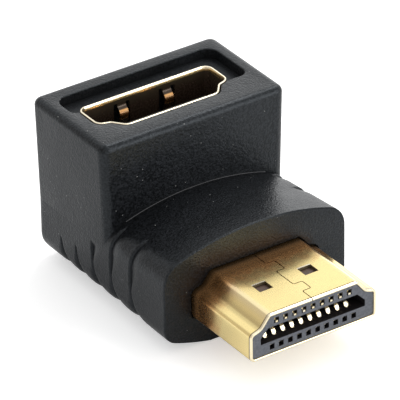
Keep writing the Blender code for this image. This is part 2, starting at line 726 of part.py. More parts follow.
def socket_shell(parts, cutters, parent, material):
    """Sheet one fit larger than the plug, with a flared mouth, four fingers and four solder legs."""
    end = -(SOCKET_DEPTH + LEG_LENGTH)
    stations = [(0, MATING_GAP + SOCKET_FLARE), (-SOCKET_FLARE_DEPTH, MATING_GAP), (end, MATING_GAP)]
    rings = [ring_at(mating_corners(), growth, height) for height, growth in stations]
    shell = lofted("socket_shell", rings, parts, parent, capped=False)
    thicken(shell, SHELL_SHEET, 1)
    half = FINGER_WIDTH / 2 + FINGER_SIDE_SLOT
    low, high = -FINGER_SETBACK - FINGER_LENGTH, -FINGER_SETBACK
    middle = MATING_GAP + SHELL_SHEET / 2
    walls = ((-middle, 1), (OUTLINE_HEIGHT + middle, -1))
    places = [(x, y, inwards) for x in (-LATCH_SPACING / 2, LATCH_SPACING / 2) for y, inwards in walls]
    spans = [((x - half, y - SHELL_SHEET, low), (x + half, y + SHELL_SHEET, high)) for x, y, _ in places]
    cut(shell, boxes("finger_windows", spans, cutters, parent), leg_comb(cutters, parent))
    for number, (x, y, inwards) in enumerate(places, 1):
        join(shell, finger(f"finger_{number}", y, inwards, x, cutters, parent))
    finish(shell, material)


def peg_centres():
    y = SIDE_HEIGHT / 2
    return [(-PEG_SPACING / 2, y), (PEG_SPACING / 2, y)]


def socket_insulator(parts, cutters, parent, material):
    """The base inside the shell, the tongue that enters a plug's slot, and two locating pegs."""
    foot = -(SOCKET_DEPTH - BASE_FOOT_GAP)
    top = foot + BASE_HEIGHT
    base = prism("socket_insulator", mating_corners(), foot, top, parts, parent, MATING_GAP - INSERT_GAP)
    middle = foot + BASE_HEIGHT / 2
    tongue = prism("tongue", slot_corners(), middle, -TONGUE_SETBACK, cutters, parent, -TONGUE_GAP)
    peg_end = foot - BASE_FOOT_GAP - PEG_LENGTH
    locators = pegs("locating_pegs", peg_centres(), PEG_RADIUS, peg_end, foot + PEG_RADIUS, cutters, parent)
    groove = CONTACT_THICKNESS + CHANNEL_GAP
    low, high = SLOT_LOW + TONGUE_GAP, SLOT_HIGH - TONGUE_GAP
    start = foot - BASE_FOOT_GAP / 2
    end = -TONGUE_SETBACK - CONTACT_WIDTH
    wide = channel_spans(WIDE_ROW_COUNT, low - groove, low + groove, start, end)
    narrow = channel_spans(NARROW_ROW_COUNT, high - groove, high + groove, start, end)
    join(base, tongue, locators)
    cut(
        base,
        boxes("socket_wide_channels", wide, cutters, parent),
        boxes("socket_narrow_channels", narrow, cutters, parent),
    )
    finish(base, material)


def socket_contacts(parts, parent, material):
    """Flat strips down both faces of the tongue, with feet that turn outwards on the board."""
    half = CONTACT_THICKNESS / 2
    tip = -TONGUE_SETBACK - CONTACT_WIDTH - CHANNEL_GAP
    floor = -SOCKET_DEPTH + SOLDER_GAP + half
    bend = floor + CONTACT_THICKNESS
    wide_y = SLOT_LOW + TONGUE_GAP + half
    narrow_y = SLOT_HIGH - TONGUE_GAP - half
    for name, count, y, outwards in (
        ("socket_contact_wide", WIDE_ROW_COUNT, wide_y, -1),
        ("socket_contact_narrow", NARROW_ROW_COUNT, narrow_y, 1),
    ):
        path = [
            (0, y, tip),
            (0, y, bend),
            (0, y + outwards * CONTACT_THICKNESS, floor),
            (0, y + outwards * FOOT_LENGTH, floor),
        ]
        contact_row(name, path, count, parts, parent, material)


def leg_spans(gap, low, high):
    """Boxes round the shell's legs, in the socket's frame."""
    inner = OUTLINE_WIDTH / 2 + MATING_GAP - gap
    outer = OUTLINE_WIDTH / 2 + SHELL_GROWTH + gap
    half = LEG_WIDTH / 2 + gap
    spans = []
    for centre in LEG_CENTRES:
        spans.append(((inner, centre - half, low), (outer, centre + half, high)))
        spans.append(((-outer, centre - half, low), (-inner, centre + half, high)))
    return spans


def circuit_board(parts, cutters, socket_datum, material):
    """The board between the two connectors, with slots for the shell's legs and holes for the pegs."""
    half = BOARD_WIDTH / 2
    corners = box_corners(-half, half, BOARD_FRONT_Y, BOARD_BACK_Y)
    board = prism("circuit_board", corners, BOARD_TOP_Z - BOARD_THICKNESS, BOARD_TOP_Z, parts)
    low, high = -(SOCKET_DEPTH + 2 * BOARD_THICKNESS), -(SOCKET_DEPTH - BOARD_THICKNESS)
    slots = boxes("leg_slots", leg_spans(LEG_SLOT_GAP, low, high), cutters, socket_datum)
    radius = PEG_RADIUS + LEG_SLOT_GAP
    holes = pegs("peg_holes", peg_centres(), radius, low, high, cutters, socket_datum)
    cut(board, slots, holes)
    finish(board, material)


def inner_mould(parts, cutters, plug_datum, socket_datum, material):
    """The first moulding round the board, hollow where the tails, the socket, the legs and the pegs are."""
    mould = barrel_prism("inner_mould", MOULD_FRONT_Y, MOULD_BACK_Y, WALL + MOULD_GAP, parts)
    half = BOARD_WIDTH / 2 + MOULD_GAP
    low = BOARD_TOP_Z - BOARD_THICKNESS - MOULD_GAP
    high = BOARD_TOP_Z + MOULD_GAP
    board = [((-half, BOARD_FRONT_Y - MOULD_GAP, low), (half, BOARD_BACK_Y + MOULD_GAP, high))]
    tail_half = WIDE_ROW_COUNT / 2 * CONTACT_PITCH + MOULD_GAP
    tail_back = -(PLUG_REACH + PLUG_HOLD + BOARD_SETBACK + TAIL_OVERLAP + MOULD_GAP)
    tail_front = -(PLUG_REACH + PLUG_HOLD - BOARD_SETBACK)
    tails = [((-tail_half, MOULD_GAP, tail_back), (tail_half, OUTLINE_HEIGHT - MOULD_GAP, tail_front))]
    growth = SHELL_GROWTH + MOULD_GAP
    well = prism("socket_well", mating_corners(), -SOCKET_DEPTH, 0, cutters, socket_datum, growth)
    pit_end = -(SOCKET_DEPTH + LEG_LENGTH + MOULD_GAP)
    pits = boxes("leg_pits", leg_spans(2 * MOULD_GAP, pit_end, -SOCKET_DEPTH), cutters, socket_datum)
    radius = PEG_RADIUS + 2 * MOULD_GAP
    peg_pits = pegs("peg_pits", peg_centres(), radius, pit_end, -SOCKET_DEPTH, cutters, socket_datum)
    cut(
        mould,
        boxes("board_pocket", board, cutters),
        boxes("tail_tunnel", tails, cutters, plug_datum),
        well,
        pits,
        peg_pits,
    )
    finish(mould, material)


def datum(name, matrix, collection):
    """An empty that holds a connector's mating frame."""
    empty = bpy.data.objects.new(name, None)
    empty.empty_display_size = OUTLINE_HEIGHT
    empty.matrix_world = matrix
    collection.objects.link(empty)
    return empty


def main():
    clear_scene()
    parts = new_collection("right_angle_adapter")
    cutters = new_collection("cutters")
    black = principled("black_moulding", (0.018, 0.018, 0.02), 0.55)
    filler = principled("inner_filler", (0.75, 0.73, 0.68), 0.6)
    gold = principled("gold_plate", (0.95, 0.68, 0.28), 0.22, 1.0)
    insert = principled("grey_insert", (0.12, 0.13, 0.17), 0.5)
    dark = principled("dark_insert", (0.02, 0.02, 0.022), 0.5)
    green = principled("board_green", (0.03, 0.22, 0.08), 0.45)
    turn_to_plug = Matrix.Rotation(math.pi / 2, 4, "X")
    turn_to_socket = Matrix.Rotation(math.pi, 4, "Z")
    plug = datum("plug_datum", Matrix.Translation((0, TIP_Y, PLUG_ELEVATION)) @ turn_to_plug, parts)
    socket_place = Matrix.Translation((SOCKET_SHIFT_X, SOCKET_WIDE_Y, BLOCK_HEIGHT))
    socket = datum("socket_datum", socket_place @ turn_to_socket, parts)
    overmould(parts, cutters, plug, socket, black)
    inner_mould(parts, cutters, plug, socket, filler)
    circuit_board(parts, cutters, socket, green)
    plug_shell(parts, cutters, plug, gold)
    plug_insulator(parts, cutters, plug, insert)
    plug_contacts(parts, plug, gold)
    socket_shell(parts, cutters, socket, gold)
    socket_insulator(parts, cutters, socket, dark)
    socket_contacts(parts, socket, gold)


main()
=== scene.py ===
"""Looks of a right angle adapter: its elbow, its gold sleeves and contacts, and a small studio.

Laid out as an add-on and run as a script. Sizes are in metres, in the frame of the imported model.
"""

import math

import bmesh
import bpy
from bpy.props import FloatProperty, FloatVectorProperty, IntProperty, PointerProperty
from mathutils import Matrix, Vector


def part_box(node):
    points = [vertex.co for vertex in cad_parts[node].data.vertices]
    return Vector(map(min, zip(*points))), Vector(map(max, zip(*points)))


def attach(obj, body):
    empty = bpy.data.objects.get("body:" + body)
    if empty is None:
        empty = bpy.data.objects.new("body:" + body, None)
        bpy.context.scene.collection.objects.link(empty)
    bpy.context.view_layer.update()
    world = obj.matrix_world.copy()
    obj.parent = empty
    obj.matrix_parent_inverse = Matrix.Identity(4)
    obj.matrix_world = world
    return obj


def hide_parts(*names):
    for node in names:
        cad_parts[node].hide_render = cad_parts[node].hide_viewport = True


bl_info = {
    "name": "Right angle adapter",
    "version": (1, 0, 0),
    "blender": (4, 5, 0),
    "location": "3D View > Sidebar > Adapter",
    "description": "Builds the looks of a right angle adapter over its packed solids",
    "category": "Object",
}

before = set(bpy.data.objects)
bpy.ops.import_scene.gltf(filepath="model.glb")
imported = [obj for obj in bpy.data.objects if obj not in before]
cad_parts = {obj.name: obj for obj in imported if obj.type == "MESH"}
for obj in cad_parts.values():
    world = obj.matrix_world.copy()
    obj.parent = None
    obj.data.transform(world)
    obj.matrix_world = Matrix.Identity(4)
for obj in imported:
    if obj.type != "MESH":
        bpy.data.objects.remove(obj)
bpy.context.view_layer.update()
MM = 0.001
QUARTER = math.pi / 2
LEAST_RADIUS = 0.02 * MM
BODY_LOW, BODY_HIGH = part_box("overmould_body")
PLUG_LOW, PLUG_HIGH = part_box("plug_shell")
SOCKET_LOW, SOCKET_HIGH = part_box("socket_shell")
BOARD_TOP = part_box("circuit_board")[1].z
SOCKET_CENTRE_X = (SOCKET_LOW.x + SOCKET_HIGH.x) / 2


def length(size, description, low=0.0):
    """A size, given in millimetres and kept in metres."""
    limits = {"min": low, "precision": 5, "subtype": "DISTANCE", "unit": "LENGTH"}
    return FloatProperty(default=size * MM, description=description, **limits)


def share(default, description):
    return FloatProperty(default=default, description=description, min=0, max=1, subtype="FACTOR")


def plain(default, description):
    return FloatProperty(default=default, description=description)


def count(default, description):
    return IntProperty(default=default, description=description, min=1)


def colour(default, description):
    limits = {"size": 3, "min": 0, "max": 1, "subtype": "COLOR"}
    return FloatVectorProperty(default=default, description=description, **limits)


def labelled(group):
    """Gives each setting of a group its name as a label."""
    for name, setting in group.__annotations__.items():
        setting.keywords["name"] = name.replace("_", " ").capitalize()
    return group


@labelled
class ElbowSettings(bpy.types.PropertyGroup):
    """Sizes and colour of the black moulded elbow."""

    block_width: length(19.7, "Width of the upright block at its foot")
    block_top_width: length(20.3, "Width of the block at its top")
    block_depth: length(12.0, "Depth of the block")
    block_corner: length(0.9, "Radius of the block's upright corners")
    block_edge: length(0.7, "Radius round the block's top")
    block_foot: length(6.6, "Height where the block leaves the boot")
    boot_width: length(20.1, "Width of the boot's front face")
    boot_top: length(10.85, "Height of the boot's front face")
    root_top: length(10.1, "Height of the boot at the block")
    boot_edge: length(0.14, "Radius round the boot's front face")
    boot_shoulder: length(2.4, "Radius of the boot's upper corners")
    boot_corner: length(1.8, "Radius of the boot's lower corners")
    heel_corner: length(2.1, "Radius of the lower corners at the back")
    crown: length(26.0, "Radius of the boot's crowned top")
    crown_flat: length(2.0, "Width of the flat along the crown")
    rest_flat: length(10.0, "Width of the flat underside")
    first_groove: length(5.85, "From the boot's face to the first groove")
    groove_pitch: length(3.35, "From the first groove to the second")
    pitch_loss: length(0.28, "How much less each pitch is than the last")
    grooves: count(5, "Finger grooves on each side")
    groove_lobe: share(0.48, "Length of low slopes, as a share of the pitch")
    groove_line: length(0.22, "Length of the slopes half way up")
    groove_flare: length(1.6, "Length of the front slopes high up")
    groove_round: length(1.2, "Height up to which the grooves are round")
    groove_thin: length(4.0, "Height above which they are thin lines")
    groove_open: length(6.2, "Height above which front slopes are long")
    groove_depth: length(0.65, "Depth of the grooves low on the side")
    groove_upper: share(0.38, "Share of that depth high on the side")
    groove_inside: length(7.9, "Half width within which nothing is carved")
    groove_outside: length(8.8, "Half width beyond which grooves are whole")
    groove_ceiling: length(6.5, "Height of the block's first groove")
    groove_floor: length(4.4, "Height of the block's last groove")
    bow_low: length(2.1, "How far grooves come forward at the bottom")
    bow_high: length(0.7, "How far grooves come forward at the crown")
    relief_width: length(17.4, "Width of the relief pocket")
    relief_depth: length(1.0, "Depth of the pocket")
    relief_margin: length(1.75, "From the pocket to the block's back")
    relief_corner: length(1.3, "Radius of the pocket's corners")
    relief_long: length(3.3, "How far the right arm comes forward")
    relief_short: length(0.4, "How far the left arm comes forward")
    edge_round: length(0.12, "Radius of the edges round openings")
    wall: length(1.0, "Thickness round the cavity")
    back_wall: length(1.5, "Thickness behind the cavity")
    plug_fit: length(0.1, "Gap round the plug's sleeve")
    socket_fit: length(0.12, "Gap round the socket's sleeve")
    bead_radius: length(0.05, "Radius of the bead along the crown")
    bead_reach: length(8.2, "How far the bead runs to each side")
    black: colour((0.006, 0.0064, 0.0074), "Colour of the moulding")


@labelled
class SleeveSettings(bpy.types.PropertyGroup):
    """Sizes and colours of the two gold sleeves and their outline."""

    outline_width: length(13.9, "Width of the plug's sleeve")
    outline_height: length(4.45, "Height of the plug's sleeve")
    narrow_width: length(9.8, "Width of the outline's narrow side")
    side_height: length(2.9, "Height of the upright sides")
    shoulder_step: length(1.1, "Width of the shoulders")
    shoulder_rise: length(0.35, "Rise of the shoulders")
    corner: length(0.55, "Radius of the outline's corners")
    bend: length(0.75, "Radius of the shoulders' inner bends")
    sheet: length(0.28, "Thickness of the sheet")
    mating_gap: length(0.05, "Gap between a plug and the socket")
    lead_in: length(0.16, "Radius round the plug's rim")
    inner_round: length(0.09, "Radius inside the plug's rim")
    window_width: length(1.4, "Width of a latch window")
    window_length: length(1.25, "Length of a latch window")
    window_corner: length(0.12, "Radius of a latch window's corners")
    window_shift: length(-0.15, "How far the windows stand off the middle", -1)
    window_setback: length(3.65, "From the plug's tip to its windows")
    window_spacing: length(5.0, "Distance between a face's windows")
    seam_bend: length(0.22, "Radius of the bends in the seam")
    seam_gap: length(0.09, "Width of the seam")
    finger_width: length(0.92, "Width of a spring finger")
    finger_gap: length(0.42, "Gap beside a finger")
    finger_setback: length(0.75, "From the socket's rim to its fingers")
    finger_length: length(4.6, "Length of a finger")
    finger_reach: length(0.55, "How far a finger bows into the socket")
    finger_bend: length(0.35, "Radius of a finger's bends")
    finger_sheet: length(0.2, "Thickness of a finger")
    mouth_flare: length(0.12, "How far the socket's mouth opens")
    mouth_depth: length(0.3, "Depth of the flared mouth")
    mouth_round: length(0.08, "Radius outside the mouth")
    gold: colour((0.99, 0.8, 0.37), "Colour of the clean plating")
    # tint of the painted shade on the plating
    tarnish: colour((0.68, 0.34, 0.13), "Colour of the tarnish")


@labelled
class ContactSettings(bpy.types.PropertyGroup):
    """Sizes of the rows of contacts."""

    pitch: length(1.0, "Distance between neighbouring contacts")
    wide_count: count(10, "Contacts in the wide row")
    narrow_count: count(9, "Contacts in the narrow row")
    width: length(0.4, "Width of a contact")
    thickness: length(0.18, "Thickness of a contact")
    bend: length(0.25, "Radius of a contact's bends")
    nose_height: length(3.4, "From the plug's wide face to the noses")
    nose_width: length(0.24, "Width of a contact's nose")
    nose_tip: length(0.12, "From the plug's tip to the noses")
    nose_root: length(0.6, "From the plug's tip to the noses' roots")


@labelled
class StageSettings(bpy.types.PropertyGroup):
    """The camera and the floor."""

    azimuth: plain(-33.857, "Camera's bearing in degrees")
    elevation: plain(30.875, "Camera's height in degrees")
    roll: plain(-0.838, "Camera's roll in degrees")
    distance: length(453.68, "From the camera to its target")
    target_setback: length(8.0, "From the plug's tip to the target")
    target_rise: length(5.0, "From the plug's underside to the target")
    target_right: length(5.713, "How far the target stands right of the middle", -1)
    target_up: length(-4.976, "How far the target stands above the middle", -1)
    lens: plain(450, "Focal length in millimetres")
    floor: colour((0.9, 0.9, 0.9), "Colour of the floor")


class AdapterSettings(bpy.types.PropertyGroup):
    """All settings of the adapter."""

    elbow: PointerProperty(type=ElbowSettings)
    sleeves: PointerProperty(type=SleeveSettings)
    contacts: PointerProperty(type=ContactSettings)
    stage: PointerProperty(type=StageSettings)


def settings():
    return bpy.context.scene.adapter


# Shapes


def arc(centre, radius, start, end, steps):
    angles = [start + (end - start) * step / steps for step in range(steps + 1)]
    x, y = centre
    return [Vector((x + radius * math.cos(a), y + radius * math.sin(a))) for a in angles]


def edge_steps(radius, steps):
    """Pairs (fall, inset) of a rounded edge, from the side, where it falls most, to the face."""
    angles = [QUARTER * step / steps for step in range(steps + 1)]
    return [(radius * (1 - math.sin(a)), radius * (1 - math.cos(a))) for a in angles]


def smooth(low, high, value):
    part = min(max((value - low) / (high - low), 0), 1)
    return part * part * (3 - 2 * part)


def edge_directions(corners, index):
    near = (corners[(index + step) % len(corners)] for step in (-1, 0, 1))
    before, here, after = (Vector((x, y)) for x, y, _ in near)
    return (here - before).normalized(), (after - here).normalized()


def grown(corners, growth):
    """Corners (x, y, radius) of a counter-clockwise outline, moved outwards evenly."""
    moved = []
    for index, (x, y, radius) in enumerate(corners):
        into, out = edge_directions(corners, index)
        shift = (Vector((into.y, -into.x)) + Vector((out.y, -out.x))) * growth / (1 + into.dot(out))
        turn = math.copysign(1, into.cross(out))
        moved.append((x + shift.x, y + shift.y, max(radius + turn * growth, LEAST_RADIUS)))
    return moved


def rounded(corners, steps=8):
    points = []
    for index, (x, y, radius) in enumerate(corners):
        into, out = edge_directions(corners, index)
        turn = into.angle_signed(out)
        side = -math.copysign(1, turn)
        reach = radius * math.tan(abs(turn) / 2)
        centre = Vector((x, y)) - into * reach + Vector((-into.y, into.x)) * radius * side
        start = math.atan2(-into.x * side, into.y * side)
        points.extend(arc(centre, radius, start, start - turn, steps))
    return points


def ring(corners, growth, height, place=Matrix()):
    return [place @ Vector((p.x, p.y, height)) for p in rounded(grown(corners, growth))]


def box_corners(x_low, x_high, y_low, y_high, radius):
    corners = (x_low, y_low), (x_high, y_low), (x_high, y_high), (x_low, y_high)
    return [(x, y, radius) for x, y in corners]


def sleeve_corners():
    """The outline that both sleeves share: a wide part, shoulders and slopes to the narrow side."""
    s = settings().sleeves
    half = s.outline_width / 2
    right = [
        (half, 0, s.corner),
        (half, s.side_height, s.corner),
        (half - s.shoulder_step, s.side_height + s.shoulder_rise, s.bend),
        (s.narrow_width / 2, s.outline_height, s.corner),
    ]
    return right + [(-x, y, radius) for x, y, radius in reversed(right)]


def plug_place():
    """Mating frame of the plug: x across, y to the narrow side, z out of the plug."""
    return Matrix.Translation((0, PLUG_LOW.y, PLUG_LOW.z)) @ Matrix.Rotation(QUARTER, 4, "X")


def wide_wall():
    """Where the wide side of the plug's outline lies in the socket."""
    s = settings().sleeves
    return SOCKET_HIGH.y - s.mating_gap - s.sheet


def socket_place():
    """Mating frame of the socket, whose narrow side faces the front."""
    centre = Matrix.Translation((SOCKET_CENTRE_X, wide_wall(), BODY_HIGH.z))
    return centre @ Matrix.Rotation(math.pi, 4, "Z")


# Meshes


def new_object(name, data):
    obj = bpy.data.objects.new(name, data)
    bpy.context.scene.collection.objects.link(obj)
    return obj


def from_bmesh(name, work):
    mesh = bpy.data.meshes.new(name)
    work.to_mesh(mesh)
    work.free()
    return new_object(name, mesh)


def skin(name, rings, closed=False):
    """A skin through rings of equal count, capped or closed on itself, that faces outwards."""
    work = bmesh.new()
    loops = [[work.verts.new(point) for point in points] for points in rings]
    for near, far in zip(loops, loops[1:] + loops[:1] if closed else loops[1:]):
        for index, corner in enumerate(near):
            following = (index + 1) % len(near)
            work.faces.new((corner, near[following], far[following], far[index]))
    if not closed:
        work.faces.new(loops[0])
        work.faces.new(loops[-1])
    bmesh.ops.recalc_face_normals(work, faces=work.faces)
    return from_bmesh(name, work)


def boxes(name, spans, place):
    work = bmesh.new()
    for low, high in spans:
        low, high = Vector(low), Vector(high)
        matrix = Matrix.Translation((low + high) / 2) @ Matrix.Diagonal((*(high - low), 1))
        bmesh.ops.create_cube(work, size=1, matrix=place @ matrix)
    return from_bmesh(name, work)


def polyline(name, points):
    work = bmesh.new()
    made = [work.verts.new(point) for point in points]
    for pair in zip(made, made[1:]):
        work.edges.new(pair)
    return from_bmesh(name, work)


def ribbon(name, path, width, across, thickness, place):
    """A closed strip of sheet along a path."""
    work = bmesh.new()
    reach = [Vector(across) * side * width / 2 for side in (-1, 1)]
    pairs = [[work.verts.new(Vector(point) + side) for side in reach] for point in path]
    for near, far in zip(pairs, pairs[1:]):
        work.faces.new((near[0], near[1], far[1], far[0]))
    bmesh.ops.transform(work, matrix=place, verts=work.verts)
    obj = from_bmesh(name, work)
    sheet = obj.modifiers.new("sheet", "SOLIDIFY")
    sheet.thickness = thickness
    sheet.offset = 0
    sheet.use_even_offset = True
    return obj


def smooth_path(points, radius, steps=5):
    """A path through pairs with its bends rounded."""
    points = [Vector(point) for point in points]
    made = [points[0]]
    for before, here, after in zip(points, points[1:], points[2:]):
        into, out = (here - before), (after - here)
        reach = min(radius, into.length * 0.45, out.length * 0.45)
        start, end = here - into.normalized() * reach, here + out.normalized() * reach
        for step in range(steps + 1):
            t = step / steps
            made.append(start * (1 - t) ** 2 + here * 2 * t * (1 - t) + end * t * t)
    return made + [points[-1]]


def settle(obj, helpers=()):
    """Turns live modifiers into the mesh and removes what helped to make it."""
    bpy.context.view_layer.update()
    seen = obj.evaluated_get(bpy.context.evaluated_depsgraph_get())
    made = bpy.data.meshes.new_from_object(seen)
    obj.modifiers.clear()
    obj.data = made
    for helper in helpers:
        bpy.data.objects.remove(helper)
    return obj


def carve(obj, cuts=(), unions=()):
    for others, operation in ((unions, "UNION"), (cuts, "DIFFERENCE")):
        for other in others:
            boolean = obj.modifiers.new(other.name, "BOOLEAN")
            boolean.object = other
            boolean.operation = operation
            boolean.solver = "EXACT"
    return settle(obj, [*cuts, *unions])


def finish(mesh, material):
    mesh.materials.clear()
    mesh.materials.append(material)


def dress(obj, material, nodes, sharp):
    """Gives a piece its finish and smooth shading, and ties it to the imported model."""
    work = bmesh.new()
    work.from_mesh(obj.data)
    bmesh.ops.remove_doubles(work, verts=work.verts, dist=0.002 * MM)
    work.to_mesh(obj.data)
    work.free()
    finish(obj.data, material)
    obj.data.shade_smooth()
    obj.data.set_sharp_from_angle(angle=math.radians(sharp))
    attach(obj, "root")
    if nodes:
        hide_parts(*nodes)


# Node trees


def reckoning(operation):
    """A method that works an operation out in the node tree."""

    def method(*values):
        return maths(operation, *values)

    return method


class Wire:
    """An output of a node. Plain arithmetic on it adds Math nodes to its tree."""

    def __init__(self, socket):
        self.socket = socket

    def __rsub__(self, other):
        return maths("SUBTRACT", other, self)

    __abs__ = reckoning("ABSOLUTE")
    __add__ = reckoning("ADD")
    __sub__ = reckoning("SUBTRACT")
    __mul__ = reckoning("MULTIPLY")
    __truediv__ = reckoning("DIVIDE")


def feed(node, values):
    """Sets a node's inputs, by index or name, to constants or to the wires that feed them."""
    for key, value in dict(values).items():
        if isinstance(value, Wire):
            node.id_data.links.new(value.socket, node.inputs[key])
        else:
            node.inputs[key].default_value = value


def put(tree, kind, values, **options):
    node = tree.nodes.new(kind)
    for name, option in options.items():
        setattr(node, name, option)
    feed(node, values)
    return node


def source(tree, kind, output=0, values=(), **options):
    """An output of a new node that nothing feeds."""
    return Wire(put(tree, kind, values, **options).outputs[output])


def wired(kind, values, output=0, **options):
    """An output of a new node in the tree that its values come from."""
    tree = next(value for value in values.values() if isinstance(value, Wire)).socket.id_data
    return Wire(put(tree, kind, values, **options).outputs[output])


def maths(operation, *values, clamp=False):
    values = dict(enumerate(values))
    return wired("ShaderNodeMath", values, operation=operation, use_clamp=clamp)


def most(first, *others):
    for other in others:
        first = maths("MAXIMUM", first, other)
    return first


def remap(value, low, high, to_low=0.0, to_high=1.0, kind="SMOOTHSTEP"):
    values = {0: value, 1: low, 2: high, 3: to_low, 4: to_high}
    return wired("ShaderNodeMapRange", values, interpolation_type=kind)


def band(value, middle, half, soft, strength=1.0):
    """A soft band: the strength within half of the middle, and 0 beyond half and soft."""
    return remap(abs(value - middle), half, half + soft, strength, 0.0)


def axes(vector):
    node = put(vector.socket.id_data, "ShaderNodeSeparateXYZ", {0: vector})
    return [Wire(output) for output in node.outputs]


def noise(place, scale, detail):
    return wired("ShaderNodeTexNoise", {"Vector": place, "Scale": scale, "Detail": detail})


def mix_colour(factor, first, second):
    return wired("ShaderNodeMix", {0: factor, 6: first, 7: second}, 2, data_type="RGBA")


def new_tree(name, kind, inputs, outputs):
    """A node group's inputs as wires by name, and its end. Names are listed by their kind."""
    tree = bpy.data.node_groups.new(name, kind)
    for listed, way in ((inputs, "INPUT"), (outputs, "OUTPUT")):
        for sort, names in listed.items():
            for socket in names.split(", "):
                socket_type = "NodeSocket" + sort
                tree.interface.new_socket(name=socket, in_out=way, socket_type=socket_type)
    start = tree.nodes.new("NodeGroupInput").outputs
    return {socket.name: Wire(socket) for socket in start}, tree.nodes.new("NodeGroupOutput")


def shader_tree(name, inputs, outputs):
    inputs = {"Vector": "Place", "Float": inputs}
    return new_tree(name, "ShaderNodeTree", inputs, {"Float": outputs})


def geometry_tree(name, **inputs):
    geometry = {"Geometry": "Geometry"}
    inputs = {**geometry, **inputs, "Material": "Material"}
    return new_tree(name, "GeometryNodeTree", inputs, geometry)


def coat(start, end, geometry):
    """Ends a geometry tree with real geometry in its material."""
    real = wired("GeometryNodeRealizeInstances", {0: geometry})
    coated = wired("GeometryNodeSetMaterial", {0: real, "Material": start["Material"]})
    feed(end, {0: coated})
    return end.id_data


def sweep(path, profile):
    values = {"Curve": path, "Profile Curve": profile, "Fill Caps": True}
    return wired("GeometryNodeCurveToMesh", values)


def run_tree(obj, tree, group, values):
    """Runs a geometry tree on an object, with a group's settings and more values by name."""
    known = {item.name: getattr(group, item.identifier) for item in group.bl_rna.properties}
    known.update(values)
    modifier = obj.modifiers.new(tree.name, "NODES")
    modifier.node_group = tree
    for item in tree.interface.items_tree:
        if item.in_out == "INPUT" and item.name in known:
            modifier[item.identifier] = known[item.name]
    return settle(obj)


# Shared effects


def moulded_grain():
    """Fine eroded texture of a moulding: its height and a soft mottling."""
    start, end = shader_tree("moulded_grain", "Scale, Coarseness", "Height, Mottle")
    fine = noise(start["Place"], start["Scale"], 3.0)
    broad = noise(start["Place"], start["Scale"] * start["Coarseness"], 2.0)
    feed(end, {"Height": fine + broad * 0.4, "Mottle": remap(fine, 0.36, 0.66)})
    return end.id_data


def dust_specks():
    """Sparse specks of different sizes: a mask that is 1 on each speck."""
    start, end = shader_tree("dust_specks", "Scale, Size, Share", "Mask")
    values = {"Vector": start["Place"], "Scale": start["Scale"]}
    cells = put(end.id_data, "ShaderNodeTexVoronoi", values).outputs
    split = put(end.id_data, "ShaderNodeSeparateColor", {0: Wire(cells["Color"])}).outputs
    chosen = maths("LESS_THAN", Wire(split[0]), start["Share"])
    size = start["Size"] * remap(Wire(split[1]), 0.0, 1.0, 0.4, 1.0, "LINEAR")
    feed(end, {"Mask": chosen * maths("LESS_THAN", Wire(cells["Distance"]), size)})
    return end.id_data


def plating_shade_and_scuff():
    """Painted shade that spreads from a level along one axis, broken up by blotches, and fine
    scuffs.
    """
    values = "Along, Clean, Dull, Blotch"
    start, end = shader_tree("plating_shade_and_scuff", values, "Mask, Scuff")
    wander = (noise(start["Place"], start["Blotch"], 4.0) - 0.5) * (2.4 * MM)
    mask = remap(start["Along"] + wander, start["Clean"], start["Dull"])
    scuff = noise(start["Place"], 4200.0, 3.0)
    feed(end, {"Mask": mask, "Scuff": remap(scuff, 0.35, 0.7)})
    return end.id_data


def effect(make, place, **values):
    """Places a shared effect, which is built once, and gives its outputs by name."""
    shared = bpy.data.node_groups.get(make.__name__) or make()
    values = {"Place": place, **values}
    node = put(place.socket.id_data, "ShaderNodeGroup", values, node_tree=shared)
    return {output.name: Wire(output) for output in node.outputs}


# Finishes

# painted shade: near black laid into the moulding's crevices
PAINTED_CREVICE_SHADE = (0.001, 0.001, 0.001, 1)
DUST = (0.3, 0.3, 0.29, 1)
FLECK = (0.2, 0.11, 0.04, 1)
# painted highlight on rims, lips and bends
PAINTED_HIGHLIGHT = (1.0, 0.93, 0.76, 1)
# painted shade on the plug's plating
PLUG_PAINTED_SHADE = (0.06, 0.035, 0.015, 1)
# painted shade on the socket's plating
SOCKET_PAINTED_SHADE = (0.02, 0.018, 0.018, 1)
INSERT_SPECK = (0.6, 0.6, 0.62, 1)
# painted shade in the insert: near black and then brown deep inside, and near black in its crevices
INSERT_SHADE = (0.012, 0.01, 0.011, 1)
INSERT_SHADE_BROWN = (0.085, 0.05, 0.038, 1)
INSERT_CREVICE_SHADE = (0.006, 0.005, 0.005, 1)


def tone(part, factor=1.0):
    return (*[value * factor for value in part], 1)


def bare(name):
    """A material, its Principled BSDF and the object's own coordinates."""
    material = bpy.data.materials.new(name)
    material.use_nodes = True
    place = source(material.node_tree, "ShaderNodeTexCoord", "Object")
    return material, material.node_tree.nodes["Principled BSDF"], place


def bump(shader, height, distance, strength=1.0):
    values = {"Height": height, "Distance": distance, "Strength": strength}
    feed(shader, {"Normal": wired("ShaderNodeBump", values)})


def occlusion(shader, distance, only_local=False):
    """How open the surface is: 1 in the open, less in a crevice."""
    options = {"values": {"Distance": distance}, "only_local": only_local, "samples": 8}
    return source(shader.id_data, "ShaderNodeAmbientOcclusion", "AO", **options)


